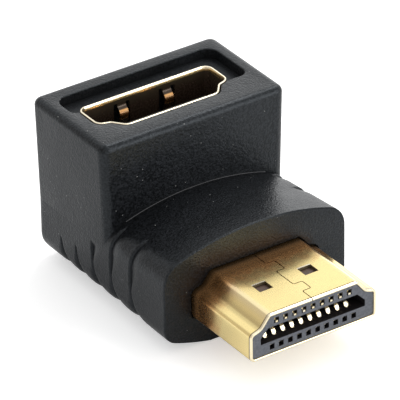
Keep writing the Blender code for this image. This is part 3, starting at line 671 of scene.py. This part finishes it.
def black_moulding():
    """Black moulded plastic with an eroded grain, a soft sheen that varies and a little dust."""
    black = settings().elbow.black
    material, shader, place = bare("black_moulding")
    grain = effect(moulded_grain, place, Scale=5200.0, Coarseness=0.35)
    dust = effect(dust_specks, place, Scale=1700.0, Size=0.09, Share=0.2)
    open_side = occlusion(shader, 0.9 * MM, True)
    toned = mix_colour(grain["Mottle"], tone(black, 0.15), tone(black, 2.1))
    # painted shade: near black where the occlusion finds the moulding closed in
    toned = mix_colour(remap(open_side, 0.35, 0.9), PAINTED_CREVICE_SHADE, toned)
    toned = mix_colour(dust["Mask"], toned, DUST)
    x, y, z = axes(place)
    lip = band(y, BODY_LOW.y + 0.08 * MM, 0.05 * MM, 0.05 * MM, 0.5)
    lip = lip * remap(x, 0.0, 5 * MM) * remap(z, 8 * MM, 9 * MM)
    crevice = remap(open_side, 0.35, 0.85, 0.35, 0.0)
    sheen = remap(noise(place, 320.0, 3.0), 0.3, 0.7, 0.28, 0.35)
    feed(shader, {"Base Color": toned, "Roughness": most(lip, crevice) + sheen})
    feed(shader, {"Specular IOR Level": 0.33, "Specular Tint": (0.84, 0.93, 1.0, 1.0)})
    bump(shader, grain["Height"], 0.045 * MM)
    return material


def plating(name, clean, dull, creases, shade_tone):
    """Gold plating with painted shade towards its root, flecks, painted shade in its creases and
    painted highlights on its edges.
    """
    s = settings().sleeves
    material, shader, place = bare(name)
    level, painted_shade, painted_highlight = creases(*axes(place))
    shade_and_scuff = effect(plating_shade_and_scuff, place, Along=level, Clean=clean, Dull=dull, Blotch=1100.0)
    flecks = effect(dust_specks, place, Scale=1700.0, Size=0.09, Share=0.03)
    # painted shade: the plating turns brown from the clean level to the dull level
    toned = mix_colour(shade_and_scuff["Mask"], tone(s.gold), tone(s.tarnish))
    for mask, colour_there in ((flecks["Mask"], FLECK), (painted_shade, shade_tone), (painted_highlight, PAINTED_HIGHLIGHT)):
        toned = mix_colour(mask, toned, colour_there)
    rough = shade_and_scuff["Mask"] * 0.06 + 0.2 + shade_and_scuff["Scuff"] * 0.03
    feed(shader, {"Base Color": toned, "Metallic": 1.0 - painted_shade * 0.45, "Roughness": rough})
    bump(shader, noise(place, 700.0, 2.0), 0.02 * MM, 0.4)
    return material


def plain_moulding(name, hue, roughness, specks=0.0, shaded=()):
    """Fine moulded plastic for an insert, with painted shade in its crevices. Shaded gives where
    its depth gets painted shade, near black and then brown.
    """
    material, shader, place = bare(name)
    grain = effect(moulded_grain, place, Scale=4000.0, Coarseness=0.35)
    toned = mix_colour(grain["Mottle"], tone(hue, 0.8), tone(hue, 1.2))
    if specks:
        dust = effect(dust_specks, place, Scale=1500.0, Size=0.1, Share=specks)
        toned = mix_colour(dust["Mask"], toned, INSERT_SPECK)
    if shaded:
        along = axes(place)[1]
        facing = axes(source(shader.id_data, "ShaderNodeTexCoord", "Normal"))[1]
        # painted shade: near black on faces turned from the front and deep inside, brown further in
        toned = mix_colour(remap(facing, -0.8, -0.4), toned, INSERT_SHADE)
        toned = mix_colour(remap(along, *shaded[:2]), toned, INSERT_SHADE)
        toned = mix_colour(remap(along, *shaded[2:]), toned, INSERT_SHADE_BROWN)
    # painted shade in the insert's crevices, where the occlusion finds them closed in
    open_side = remap(occlusion(shader, 0.3 * MM), 0.2, 0.65)
    rough = remap(grain["Mottle"], 0.0, 1.0, roughness - 0.06, roughness + 0.06)
    feed(shader, {"Base Color": mix_colour(open_side, INSERT_CREVICE_SHADE, toned), "Roughness": rough})
    bump(shader, grain["Height"], 0.006 * MM)
    return material


def contact_plating():
    """Bright plating on the contacts, a little worn where they rub."""
    material, shader, place = bare("contact_plating")
    wear = noise(place, 2600.0, 3.0)
    toned = mix_colour(remap(wear, 0.35, 0.7), (0.95, 0.8, 0.5, 1), (0.96, 0.9, 0.76, 1))
    rough = remap(wear, 0.3, 0.7, 0.24, 0.38)
    feed(shader, {"Base Color": toned, "Metallic": 1.0, "Roughness": rough})
    return material


def board_finish():
    """Solder mask over woven glass, with traces showing through."""
    material, shader, place = bare("solder_mask")
    values = {"Vector": place, "Scale": 160.0, "Distortion": 1.5, "Detail": 1.0}
    traces = wired("ShaderNodeTexWave", values, 1)
    weave = wired("ShaderNodeTexChecker", {"Vector": place, "Scale": 3000.0}, 1)
    toned = mix_colour(remap(traces, 0.4, 0.6), (0.012, 0.09, 0.03, 1), (0.03, 0.17, 0.06, 1))
    feed(shader, {"Base Color": toned, "Roughness": remap(weave, 0.0, 1.0, 0.3, 0.38)})
    bump(shader, traces, 0.02 * MM, 0.6)
    return material


# The elbow


def block_front():
    return BODY_HIGH.y - settings().elbow.block_depth


def quarter_section(half_width, inset, flat, radius):
    """Points (x, drop) from the side to the crown, for a section set in evenly."""
    crown, corner = settings().elbow.crown - inset, radius - inset
    reach = half_width - inset - corner
    tilt = math.asin(reach / (crown - corner))
    edge = math.asin(flat / 2 / crown)
    level = crown * math.cos(edge)
    centre = (reach, (crown - corner) * math.cos(tilt) - level)
    points = arc(centre, corner, 0, QUARTER - tilt, 10)
    points += arc((0, -level), crown, QUARTER - tilt, QUARTER - edge, 16)[1:]
    return [(p.x, -p.y) for p in points]


def leg_section(y, inset=0.0):
    """A counter-clockwise section (x, z) of the lying leg at y, and its top."""
    e = settings().elbow
    part = min(max((y - BODY_LOW.y) / (block_front() - BODY_LOW.y), 0), 1)
    half = (e.boot_width + (e.block_width - e.boot_width) * part) / 2
    top = e.boot_top + (e.root_top - e.boot_top) * part
    heel = smooth(block_front(), BODY_HIGH.y, y)
    corner = e.boot_corner + (e.heel_corner - e.boot_corner) * heel
    lower = quarter_section(half, inset, e.rest_flat, corner)
    upper = quarter_section(half, inset, e.crown_flat, e.boot_shoulder)
    lower = [(x, inset + drop) for x, drop in lower]
    upper = [(x, top - inset - drop) for x, drop in upper]
    low, high = lower[0][1], upper[0][1]
    side = [(lower[0][0], low + (high - low) * step / 20) for step in range(1, 20)]
    right = lower[::-1] + side + upper
    return right + [(-x, z) for x, z in reversed(right)], top


def groove_places():
    e = settings().elbow
    place, pitch, places = BODY_LOW.y + e.first_groove, e.groove_pitch, []
    for _ in range(e.grooves):
        places.append(place)
        place += pitch
        pitch -= e.pitch_loss
    return places


def plain_leg():
    """The leg before it is grooved, with bowed rings. 'along' keeps their places before the bow."""
    e = settings().elbow
    grooves = groove_places()
    back = BODY_HIGH.y - e.block_corner
    stations = [(BODY_LOW.y + inset, fall) for fall, inset in edge_steps(e.boot_edge, 6)]
    y = BODY_LOW.y + e.boot_edge
    near = [e.groove_line * step / 4 for step in range(-5, 6)]
    coarse = 0.2 * MM
    for end in [*grooves, back + near[-1]]:
        span = end + near[0] - y
        steps = max(int(span / coarse), 2)
        stations += [(y + span * step / steps, 0.0) for step in range(1, steps)]
        if end in grooves:
            stations += [(end + offset, 0.0) for offset in near]
            y = end + near[-1]
    stations += [(BODY_HIGH.y - fall, inset) for fall, inset in edge_steps(e.block_corner, 8)]
    rings, marks = [], []
    for y, inset in stations:
        section, top = leg_section(y, inset)
        part = smooth(grooves[0] - e.groove_flare * 2.5, grooves[0], y)
        part *= 1 - smooth(grooves[-1], back, y)
        bows = [part * (e.bow_low if z < top / 2 else e.bow_high) for _, z in section]
        bowed = zip(bows, section)
        rings.append([Vector((x, y - bow * (2 * z / top - 1) ** 2, z)) for bow, (x, z) in bowed])
        marks += [y] * len(section)
    leg = skin("elbow_moulding", rings)
    leg.data.attributes.new("along", "FLOAT", "POINT").data.foreach_set("value", marks)
    return leg


def groove_tree():
    """Carves finger grooves into a leg's sides: each scale sinks towards a sharp step."""
    sizes = "First, Groove pitch, Pitch loss, Groove lobe, Groove line, Groove flare, "
    sizes += "Groove depth, Groove upper, Groove round, Groove thin, Groove open, "
    sizes += "Groove inside, Groove outside, Groove ceiling, Groove floor, Block front"
    start, end = geometry_tree("finger_grooves", Float=sizes, Int="Grooves")
    tree = end.id_data
    x, _, height = axes(source(tree, "GeometryNodeInputPosition"))
    values = {"Name": "along"}
    along = source(tree, "GeometryNodeInputNamedAttribute", 0, values, data_type="FLOAT")
    line = start["Groove line"]
    upper = remap(height, start["Groove round"], start["Groove thin"])
    lobe = 1.0 - upper
    opened = remap(height, start["Groove thin"], start["Groove open"])

    begin = tree.nodes.new("GeometryNodeRepeatInput")
    last = tree.nodes.new("GeometryNodeRepeatOutput")
    begin.pair_with_output(last)
    last.repeat_items.clear()
    for name in ("Carved", "Groove", "Spacing"):
        last.repeat_items.new("FLOAT", name)
    feed(begin, {"Iterations": start["Grooves"], "Carved": 0.0})
    feed(begin, {"Groove": start["First"], "Spacing": start["Groove pitch"]})
    carved, groove, spacing = (Wire(begin.outputs[n]) for n in ("Carved", "Groove", "Spacing"))
    widened = maths("MULTIPLY_ADD", spacing, start["Groove lobe"], line * -1.0)
    back = maths("MULTIPLY_ADD", widened, lobe, line)
    front = maths("MULTIPLY_ADD", widened, lobe * lobe, line)
    front = front + (start["Groove flare"] - line) * opened
    away = most((along - groove) / back, (groove - along) / front)
    scale = maths("POWER", maths("SUBTRACT", 1.0, away, clamp=True), 2.0)
    feed(last, {"Carved": most(carved, scale), "Groove": groove + spacing})
    feed(last, {"Spacing": spacing - start["Pitch loss"]})

    lessened = 1.0 - upper * (1.0 - start["Groove upper"])
    side = remap(abs(x), start["Groove inside"], start["Groove outside"])
    block = start["Block front"]
    fall_start, fall_end, soft, step = 3.2 * MM, 6.2 * MM, 0.9 * MM, 0.3 * MM
    falling = remap(along, block + fall_start, block + fall_end)
    ceiling = start["Groove ceiling"]
    ceiling = ceiling - falling * (ceiling - start["Groove floor"])
    under = remap(height, ceiling - soft, ceiling, 1.0, 0.0)
    beside = remap(along, block, block + step)
    open_top = 1.0 - beside * (1.0 - under)
    depth = Wire(last.outputs["Carved"]) * start["Groove depth"] * lessened * side * open_top
    normal = axes(source(tree, "GeometryNodeInputNormal"))
    flat = wired("ShaderNodeCombineXYZ", {0: normal[0], 2: normal[2]})
    inward = wired("ShaderNodeVectorMath", {0: flat}, operation="NORMALIZE")
    values = {0: inward, "Scale": depth * -1.0}
    offset = wired("ShaderNodeVectorMath", values, operation="SCALE")
    values = {"Geometry": start["Geometry"], "Offset": offset}
    return coat(start, end, wired("GeometryNodeSetPosition", values))


def upright_block():
    e = settings().elbow
    foot, top = (
        box_corners(-width / 2, width / 2, block_front(), BODY_HIGH.y, e.block_corner)
        for width in (e.block_width, e.block_top_width)
    )
    rings = [ring(foot, 0, e.block_foot)]
    for fall, inset in edge_steps(e.block_edge, 8):
        rings.append(ring(top, -inset, BODY_HIGH.z - fall))
    return skin("upright_block", rings)


def eased_hole(name, corners, growth, floor, face, beyond, place=Matrix()):
    """A cutter whose walls open in a small round towards the face that it cuts."""
    radius = settings().elbow.edge_round
    rings = [ring(corners, growth, floor, place)]
    for fall, opening in edge_steps(radius, 5):
        rings.append(ring(corners, growth + opening, face - fall, place))
    rings.append(ring(corners, growth + radius, beyond, place))
    return skin(name, rings)


def relief_corners():
    e = settings().elbow
    half = e.relief_width / 2
    inner = SOCKET_CENTRE_X + settings().sleeves.narrow_width / 2
    back = BODY_HIGH.y - e.relief_margin
    long_y, short_y = wide_wall() - e.relief_long, wide_wall() - e.relief_short
    end, sharp = e.relief_corner * 0.7, 0.05 * MM
    return [
        (inner, long_y, sharp),
        (half, long_y, end),
        (half, back, e.relief_corner),
        (-half, back, e.relief_corner),
        (-half, short_y, end),
        (inner, short_y, sharp),
    ]


def elbow():
    """The moulding: the grooved leg and the block in one, hollow, with its openings and pocket."""
    e, s = settings().elbow, settings().sleeves
    material = black_moulding()
    first = BODY_LOW.y + e.first_groove
    values = {"First": first, "Block front": block_front(), "Material": material}
    leg = run_tree(plain_leg(), groove_tree(), e, values)
    section = leg_section(block_front(), e.wall)[0]
    behind, overlap, beyond = 0.05 * MM, 0.2 * MM, MM
    ends = (PLUG_HIGH.y + behind, BODY_HIGH.y - e.back_wall)
    cavity = skin("cavity", [[Vector((x, y, z)) for x, z in section] for y in ends])
    face = -(BODY_LOW.y - PLUG_LOW.y)
    depth = -(PLUG_HIGH.y - PLUG_LOW.y + overlap)
    outline = sleeve_corners()
    plug_hole = eased_hole("plug_hole", outline, e.plug_fit, depth, face, 0, plug_place())
    growth, depth = s.mating_gap + s.sheet + e.socket_fit, BOARD_TOP - BODY_HIGH.z
    socket_hole = eased_hole("socket_hole", outline, growth, depth, 0, beyond, socket_place())
    top = BODY_HIGH.z
    relief = eased_hole("relief", relief_corners(), 0, top - e.relief_depth, top, top + beyond)
    carve(leg, [cavity, plug_hole, socket_hole, relief], [upright_block()])
    dress(leg, material, ["overmould_body"], 32)


def bead_tree():
    """Sweeps a small round bead along a path."""
    start, end = geometry_tree("bead", Float="Bead radius")
    curve = wired("GeometryNodeMeshToCurve", {0: start["Geometry"]})
    values = {"Radius": start["Bead radius"], "Resolution": 10}
    return coat(start, end, sweep(curve, wired("GeometryNodeCurvePrimitiveCircle", values)))


def junction_bead():
    """The fine raised line where the boot's crown meets the block's face, along the crown."""
    e = settings().elbow
    section, _ = leg_section(block_front())
    upper = sorted((x, z) for x, z in section if z > e.root_top / 2 and abs(x) < e.bead_reach)
    path = polyline("junction_bead", [(x, block_front(), z) for x, z in upper])
    material = bpy.data.materials["black_moulding"]
    run_tree(path, bead_tree(), e, {"Material": material})
    path.data.shade_smooth()
    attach(path, "root")


# The sleeves


def seam_path():
    """The seam's path (x, z) in the plug's frame: straight runs and two locking tabs."""
    s = settings().sleeves
    left, right = -0.15 * MM, 0.8 * MM
    path = [(left, s.sheet)]
    for near, far in ((-1.6 * MM, -3.0 * MM), (-5.7 * MM, -7.35 * MM)):
        path += [(left, near), (right, near), (right, far), (left, far)]
    return path + [(left, PLUG_LOW.y - PLUG_HIGH.y - s.sheet)]


def plug_creases(x, y, z):
    """Where the plug's painted shade is measured from, the painted shade in its fold, bends, root
    and window walls, and the painted highlights on its edges.
    """
    s = settings().sleeves
    side = abs(x)
    half = s.outline_width / 2
    top = remap(z, PLUG_LOW.z + s.side_height, PLUG_LOW.z + s.side_height + 0.2 * MM)
    # painted shade: a dark line behind the rim, bands along the shoulders' bends and outer corners,
    # darkening by the boot and on the windows' walls
    fold = band(y, PLUG_LOW.y + s.lead_in + 0.06 * MM, 0.04 * MM, 0.06 * MM, 0.85)
    bend = band(side, half - s.shoulder_step, 0.1 * MM, 0.35 * MM, 0.3)
    outer = band(side, half - 0.12 * MM, 0.05 * MM, 0.2 * MM, 0.24)
    root = remap(y, BODY_LOW.y - 1.3 * MM, BODY_LOW.y - 0.05 * MM, 0.0, 0.97)
    # painted highlights: the pale rim, the lips behind the windows and the ridge along the upper
    # bends
    rim = remap(y, PLUG_LOW.y + 0.12 * MM, PLUG_LOW.y + 0.2 * MM, 0.65, 0.0)
    ridge = band(side, s.narrow_width / 2, 0.05 * MM, 0.55 * MM, 0.3) * top
    clear = remap(y, BODY_LOW.y - 4 * MM, BODY_LOW.y - 2 * MM, 1.0, 0.0)
    back = PLUG_LOW.y + s.window_setback + s.window_length
    lip = band(y, back + 0.09 * MM, 0.05 * MM, 0.05 * MM, 0.8)
    inside = band(y, back - s.window_length / 2, s.window_length / 2 + 0.03 * MM, 0.02 * MM, 0.9)
    lips, walls = [], []
    for sign in (-0.5, 0.5):
        window = s.window_shift + sign * s.window_spacing
        lips.append(band(x, window, s.window_width / 2, 0.05 * MM) * lip)
        walls.append(band(x, window, s.window_width / 2 + 0.03 * MM, 0.02 * MM) * inside)
    painted_shade = most(fold, most(bend, outer) * top, root, *walls)
    return y - x * 0.06, painted_shade, most(rim, *lips, ridge * clear)


def plug_sleeve():
    """Folded gold sheet with a rolled rim, latch windows in both faces and a locked seam."""
    s = settings().sleeves
    place = plug_place()
    corners = sleeve_corners()
    back = PLUG_LOW.y - PLUG_HIGH.y
    rim = arc((-s.lead_in, -s.lead_in), s.lead_in, QUARTER, 0, 6)
    rim += arc((-s.inner_round, -s.sheet + s.inner_round), s.inner_round, 0, -QUARTER, 3)
    profile = [(back, 0), *rim, (back, -s.sheet)]
    rings = [ring(corners, growth, height, place) for height, growth in profile]
    sleeve = skin("plug_sleeve", rings, closed=True)
    windows = []
    low, high = -s.window_setback - s.window_length, -s.window_setback
    turn = place @ Matrix.Rotation(QUARTER, 4, "X")
    for x in (s.window_shift - s.window_spacing / 2, s.window_shift + s.window_spacing / 2):
        half = s.window_width / 2
        hole = box_corners(x - half, x + half, low, high, s.window_corner)
        for level in (0, s.outline_height):
            rings = [ring(hole, 0, -level + side * 2 * s.sheet, turn) for side in (-1, 1)]
            windows.append(skin(f"window_{len(windows)}", rings))
    path = [(p.x, s.outline_height, p.y) for p in smooth_path(seam_path(), s.seam_bend)]
    seam = ribbon("seam", path, 4 * s.sheet, (0, 1, 0), s.seam_gap, place)
    carve(sleeve, [*windows, seam])
    # painted shade that darkens the plating towards the boot
    clean, dull = BODY_LOW.y - 4.6 * MM, BODY_LOW.y - 1.6 * MM
    material = plating("plug_plating", clean, dull, plug_creases, PLUG_PAINTED_SHADE)
    dress(sleeve, material, ["plug_shell"], 40)


def finger_bow(index, wall, inwards, x, place):
    """A spring finger with its bump near the mouth."""
    s = settings().sleeves
    root = -s.finger_setback
    points = [(wall, root + 0.25 * MM), (wall, root - s.finger_bend)]
    for along, bow in ((0.2, 1), (0.3, 1), (0.55, 0.2), (0.92, 0.1)):
        points.append((wall + inwards * s.finger_reach * bow, root - s.finger_length * along))
    path = [(x, p.x, p.y) for p in smooth_path(points, s.finger_bend)]
    return ribbon(f"finger_{index}", path, s.finger_width, (1, 0, 0), s.finger_sheet, place)


def socket_depth(x, y, z):
    """Where the socket's painted shade is measured from, the painted shade on its walls and the
    painted highlight on its rim.
    """
    s = settings().sleeves
    top, mouth = SOCKET_HIGH.z, SOCKET_HIGH.z - s.mouth_depth
    wall = SOCKET_HIGH.y - s.sheet
    reach = (s.window_spacing + s.finger_width) / 2
    # painted shade on the walls below the mouth
    below = remap(z, mouth, mouth - 0.1 * MM, 0.0, 0.95)
    near = remap(y, wall - 0.2 * MM, wall - 0.3 * MM)
    across = remap(abs(x - SOCKET_CENTRE_X), reach, reach + 0.2 * MM, 1.0, 0.0)
    # the fingers' bumps, which catch light, are left out of the painted shade but for a dark
    # streak, a painted reflection across their middle
    high = remap(z, top - 2.3 * MM, top - 2.1 * MM)
    high = high * remap(z, top - 1.3 * MM, top - 1.2 * MM, 1.0, 0.0)
    streak = band(z, top - 1.6 * MM, 0.05 * MM, 0.1 * MM, 0.7)
    bumps = near * across * high * (1.0 - streak)
    # the last value is a painted highlight: the pale band round the mouth
    return z, below * (1.0 - bumps), remap(z, mouth, top - 0.1 * MM, 0.0, 0.85)


def socket_sleeve():
    """The socket's gold sheet: an eased rim, windows with spring fingers, and four legs."""
    s = settings().sleeves
    place = socket_place()
    corners = sleeve_corners()
    end = SOCKET_LOW.z - SOCKET_HIGH.z
    inner, outer = s.mating_gap, s.mating_gap + s.sheet
    rim = arc((-s.mouth_round, outer - s.mouth_round), s.mouth_round, QUARTER, 0, 4)
    rim += [(0, inner + s.mouth_flare), (-s.mouth_depth, inner)]
    profile = [(end, outer), *rim, (end, inner)]
    rings = [ring(corners, growth, height, place) for height, growth in profile]
    sleeve = skin("socket_sleeve", rings, closed=True)

    half = s.finger_width / 2 + s.finger_gap
    low, high = -s.finger_setback - s.finger_length, -s.finger_setback
    middle = (inner + outer) / 2
    walls = ((-middle, 1), (s.outline_height + middle, -1))
    sides = (-s.window_spacing / 2, s.window_spacing / 2)
    spots = [(wall, inwards, x) for x in sides for wall, inwards in walls]
    windows = [((x - half, y - s.sheet, low), (x + half, y + s.sheet, high)) for y, _, x in spots]

    foot = BOARD_TOP - SOCKET_HIGH.z + 0.3 * MM
    legs, half_leg, far = (0.95 * MM, 2.25 * MM), 0.3 * MM, s.outline_width
    edges = [-far, *[leg + side * half_leg for leg in legs for side in (-1, 1)], far]
    below = [((-far, edges[i], end - MM), (far, edges[i + 1], foot)) for i in (0, 2, 4)]
    fingers = [finger_bow(index, *spot, place) for index, spot in enumerate(spots)]
    carve(sleeve, [boxes("windows", windows, place), boxes("below", below, place)])
    carve(sleeve, unions=fingers)
    # painted shade that darkens the plating deeper into the socket
    clean, dull = SOCKET_HIGH.z + 0.4 * MM, SOCKET_HIGH.z - 1.8 * MM
    material = plating("socket_plating", clean, dull, socket_depth, SOCKET_PAINTED_SHADE)
    dress(sleeve, material, ["socket_shell"], 40)


# The contacts


def row_tree():
    """Bends a strip along a path and sets a row of them side by side."""
    start, end = geometry_tree("contact_row", Int="Count", Float="Pitch, Width, Thickness, Bend")
    path = wired("GeometryNodeMeshToCurve", {0: start["Geometry"]})
    values = {"Curve": path, "Radius": start["Bend"], "Count": 4, "Limit Radius": True}
    bent = wired("GeometryNodeFilletCurve", values, mode="POLY")
    values = {"Width": start["Width"], "Height": start["Thickness"]}
    strip = sweep(bent, wired("GeometryNodeCurvePrimitiveQuadrilateral", values))
    gap = wired("ShaderNodeCombineXYZ", {0: start["Pitch"]})
    span = (start["Count"] - 1.0) * start["Pitch"]
    first = wired("ShaderNodeCombineXYZ", {0: span * -0.5})
    values = {"Count": start["Count"], "Start Location": first, "Offset": gap}
    line = wired("GeometryNodeMeshLine", values)
    row = wired("GeometryNodeInstanceOnPoints", {"Points": line, "Instance": strip})
    return coat(start, end, row)


def contact_row(name, points, amount, place, nodes, material, width):
    """One row of contacts along a path of (y, z) pairs in a connector's frame."""
    row = polyline(name, [place @ Vector((0, y, z)) for y, z in points])
    tree = bpy.data.node_groups.get("contact_row") or row_tree()
    values = {"Count": amount, "Width": width, "Material": material}
    run_tree(row, tree, settings().contacts, values)
    dress(row, material, nodes, 40)


def strip_line(node, place):
    """The middle line (y, z) of a packed contact: the middle of each pair of its sheet's edges."""
    back = place.inverted()
    work = bmesh.new()
    work.from_mesh(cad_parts[node].data)
    bmesh.ops.remove_doubles(work, verts=work.verts, dist=0.001 * MM)
    points = [back @ vert.co for vert in work.verts]
    work.free()
    side = min(p.x for p in points)
    left = [p for p in points if p.x < side + settings().contacts.width / 2]
    here, line = max(left, key=lambda p: p.z), []
    while len(left) > 1:
        near = min(left, key=lambda p: (p - here).length)
        left.remove(near)
        mate = min(left, key=lambda p: (p - near).length)
        left.remove(mate)
        here = (near + mate) / 2
        line.append((here.y, here.z))
    return line


def contacts():
    """Two rows that spring into the plug's slot, two on the socket's tongue, and a row of noses."""
    c = settings().contacts
    material, names = contact_plating(), []
    for side, amount in (("wide", c.wide_count), ("narrow", c.narrow_count)):
        for connector, place in (("plug", plug_place()), ("socket", socket_place())):
            stem = f"{connector}_contact_{side}"
            nodes = [f"{stem}_{index:02d}" for index in range(1, amount + 1)]
            path = strip_line(nodes[0], place)
            names.append(f"{connector}_contacts_{side}")
            contact_row(names[-1], path, amount, place, nodes, material, c.width)
    path = [(c.nose_height, -c.nose_tip), (c.nose_height, -c.nose_root)]
    names.append("plug_contact_noses")
    contact_row(names[-1], path, c.narrow_count, plug_place(), [], material, c.nose_width)
    return names


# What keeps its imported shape


def packed_pieces():
    """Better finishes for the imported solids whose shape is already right."""
    # depths where the insert's painted shade begins and where it turns brown
    shaded = [PLUG_LOW.y + depth * MM for depth in (0.15, 0.5, 2.4, 3)]
    finishes = {
        "plug_insulator": plain_moulding("grey_insert", (0.088, 0.095, 0.112), 0.42, 0.05, shaded),
        "socket_insulator": plain_moulding("dark_insert", (0.014, 0.013, 0.013), 0.4),
        "inner_mould": plain_moulding("inner_filler", (0.6, 0.58, 0.52), 0.5),
        "circuit_board": board_finish(),
    }
    for node, material in finishes.items():
        finish(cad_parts[node].data, material)


# The stage


def camera():
    g = settings().stage
    bearing, height, roll = (math.radians(angle) for angle in (g.azimuth, g.elevation, g.roll))
    level = math.cos(height)
    back = Vector((math.sin(bearing) * level, -math.cos(bearing) * level, math.sin(height)))
    across = (-back).cross(Vector((0, 0, 1))).normalized()
    rising = across.cross(-back)
    right = math.cos(roll) * across + math.sin(roll) * rising
    up = -math.sin(roll) * across + math.cos(roll) * rising
    target = Vector((0, PLUG_LOW.y + g.target_setback, PLUG_LOW.z + g.target_rise))
    centre = target - (right * g.target_right + up * g.target_up - back * g.distance)
    data = bpy.data.cameras.new("photo_camera")
    data.sensor_width = 36
    data.lens = g.lens
    data.clip_start, data.clip_end = 0.01, 20
    obj = new_object("photo_camera", data)
    turn = Matrix((right, up, back)).transposed().to_4x4()
    obj.matrix_world = Matrix.Translation(centre) @ turn
    bpy.context.scene.camera = obj


def soft_light(name, place, aim, size, energy):
    """A round lamp that looks at a height on the middle of the adapter."""
    data = bpy.data.lights.new(name, "AREA")
    data.shape = "DISK"
    data.size = size
    data.energy = energy
    obj = new_object(name, data)
    obj.location = place
    obj.rotation_euler = (Vector((0, 0, aim)) - Vector(place)).to_track_quat("-Z", "Y").to_euler()


def floor():
    """A wide pale floor, white to the camera but for the object's soft shadow."""
    pale = settings().stage.floor
    work = bmesh.new()
    bmesh.ops.create_grid(work, x_segments=8, y_segments=8, size=2.0)
    obj = from_bmesh("studio_floor", work)
    obj.data.transform(Matrix.Translation((0, 0, -0.01 * MM)))
    material, shader, place = bare("pale_floor")
    toned = mix_colour(noise(place, 12.0, 2.0), tone(pale, 0.99), tone(pale))
    seen = source(shader.id_data, "ShaderNodeLightPath", "Is Camera Ray")
    feed(shader, {"Base Color": toned, "Roughness": 0.8})
    feed(shader, {"Emission Color": (1, 1, 1, 1), "Emission Strength": seen * 0.43})
    obj.data.materials.append(material)


def surroundings():
    """White to the camera and in reflections, softer as a light, with warm dark to the left."""
    world = bpy.data.worlds.new("studio")
    bpy.context.scene.world = world
    world.use_nodes = True
    tree = world.node_tree
    kinds = ("Is Camera Ray", "Is Glossy Ray", "Is Transmission Ray")
    seen, glossy, through = (source(tree, "ShaderNodeLightPath", kind) for kind in kinds)
    side = axes(source(tree, "ShaderNodeTexCoord", "Generated"))[0]
    dark = glossy * remap(side, -0.55, -0.25, 0.48, 0.0)
    shown = mix_colour(dark, (1, 1, 1, 1), (0.16, 0.08, 0.03, 1))
    strength = remap(most(seen, glossy, through), 0.0, 1.0, 0.85, 1.0, "LINEAR")
    feed(tree.nodes["Background"], {0: shown, 1: strength})


def stage():
    camera()
    floor()
    surroundings()
    soft_light("key", place=(0.22, 0.1, 0.4), aim=5 * MM, size=0.22, energy=0.7)
    soft_light("fill", place=(0.25, -0.41, 0.14), aim=5 * MM, size=0.3, energy=0.75)
    soft_light("rim", place=(0.34, 0.36, 0.1), aim=10 * MM, size=0.34, energy=0.26)
    bpy.context.scene.view_settings.view_transform = "Standard"


# The add-on


def finished(*names):
    """An operator's result. It raises an error where a piece is missing."""
    for name in names:
        obj = bpy.data.objects.get(name)
        if obj is None or obj.type == "MESH" and not obj.data.polygons:
            raise RuntimeError(f"{name} could not be made")
    return {"FINISHED"}


class ADAPTER_OT_elbow(bpy.types.Operator):
    """Build the moulded elbow with its grooves and openings, and the bead at its junction"""

    bl_idname = "adapter.elbow"
    bl_label = "Elbow"

    def execute(self, context):
        elbow()
        junction_bead()
        return finished("elbow_moulding", "junction_bead")


class ADAPTER_OT_plug_sleeve(bpy.types.Operator):
    """Build the plug's gold sleeve"""

    bl_idname = "adapter.plug_sleeve"
    bl_label = "Plug sleeve"

    def execute(self, context):
        plug_sleeve()
        return finished("plug_sleeve")


class ADAPTER_OT_socket_sleeve(bpy.types.Operator):
    """Build the socket's gold sleeve and its spring fingers"""

    bl_idname = "adapter.socket_sleeve"
    bl_label = "Socket sleeve"

    def execute(self, context):
        socket_sleeve()
        return finished("socket_sleeve")


class ADAPTER_OT_contacts(bpy.types.Operator):
    """Build the rows of contacts"""

    bl_idname = "adapter.contacts"
    bl_label = "Contacts"

    def execute(self, context):
        return finished(*contacts())


class ADAPTER_OT_packed_pieces(bpy.types.Operator):
    """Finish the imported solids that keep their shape"""

    bl_idname = "adapter.packed_pieces"
    bl_label = "Packed pieces"

    def execute(self, context):
        packed_pieces()
        return finished()


class ADAPTER_OT_stage(bpy.types.Operator):
    """Set up the camera, the floor and the light"""

    bl_idname = "adapter.stage"
    bl_label = "Stage"

    def execute(self, context):
        stage()
        return finished("photo_camera", "studio_floor", "key", "fill", "rim")


class ADAPTER_PT_panel(bpy.types.Panel):
    """Lists the adapter's operators and settings"""

    bl_idname = "ADAPTER_PT_panel"
    bl_label = "Right angle adapter"
    bl_space_type = "VIEW_3D"
    bl_region_type = "UI"
    bl_category = "Adapter"

    def draw(self, context):
        for step in OPERATORS:
            self.layout.operator(step.bl_idname)
        for part in ("elbow", "sleeves", "contacts", "stage"):
            box = self.layout.box()
            box.label(text=part.capitalize())
            values = getattr(context.scene.adapter, part)
            for name in values.__annotations__:
                box.prop(values, name)


SETTINGS = [ElbowSettings, SleeveSettings, ContactSettings, StageSettings, AdapterSettings]
OPERATORS = [
    ADAPTER_OT_elbow,
    ADAPTER_OT_plug_sleeve,
    ADAPTER_OT_socket_sleeve,
    ADAPTER_OT_contacts,
    ADAPTER_OT_packed_pieces,
    ADAPTER_OT_stage,
]
CLASSES = [*SETTINGS, *OPERATORS, ADAPTER_PT_panel]


def register():
    for made in CLASSES:
        bpy.utils.register_class(made)
    bpy.types.Scene.adapter = PointerProperty(type=AdapterSettings)


def unregister():
    del bpy.types.Scene.adapter
    for made in reversed(CLASSES):
        bpy.utils.unregister_class(made)


def main():
    register()
    bpy.ops.adapter.elbow()
    bpy.ops.adapter.plug_sleeve()
    bpy.ops.adapter.socket_sleeve()
    bpy.ops.adapter.contacts()
    bpy.ops.adapter.packed_pieces()
    bpy.ops.adapter.stage()


if __name__ == "__main__":
    main()
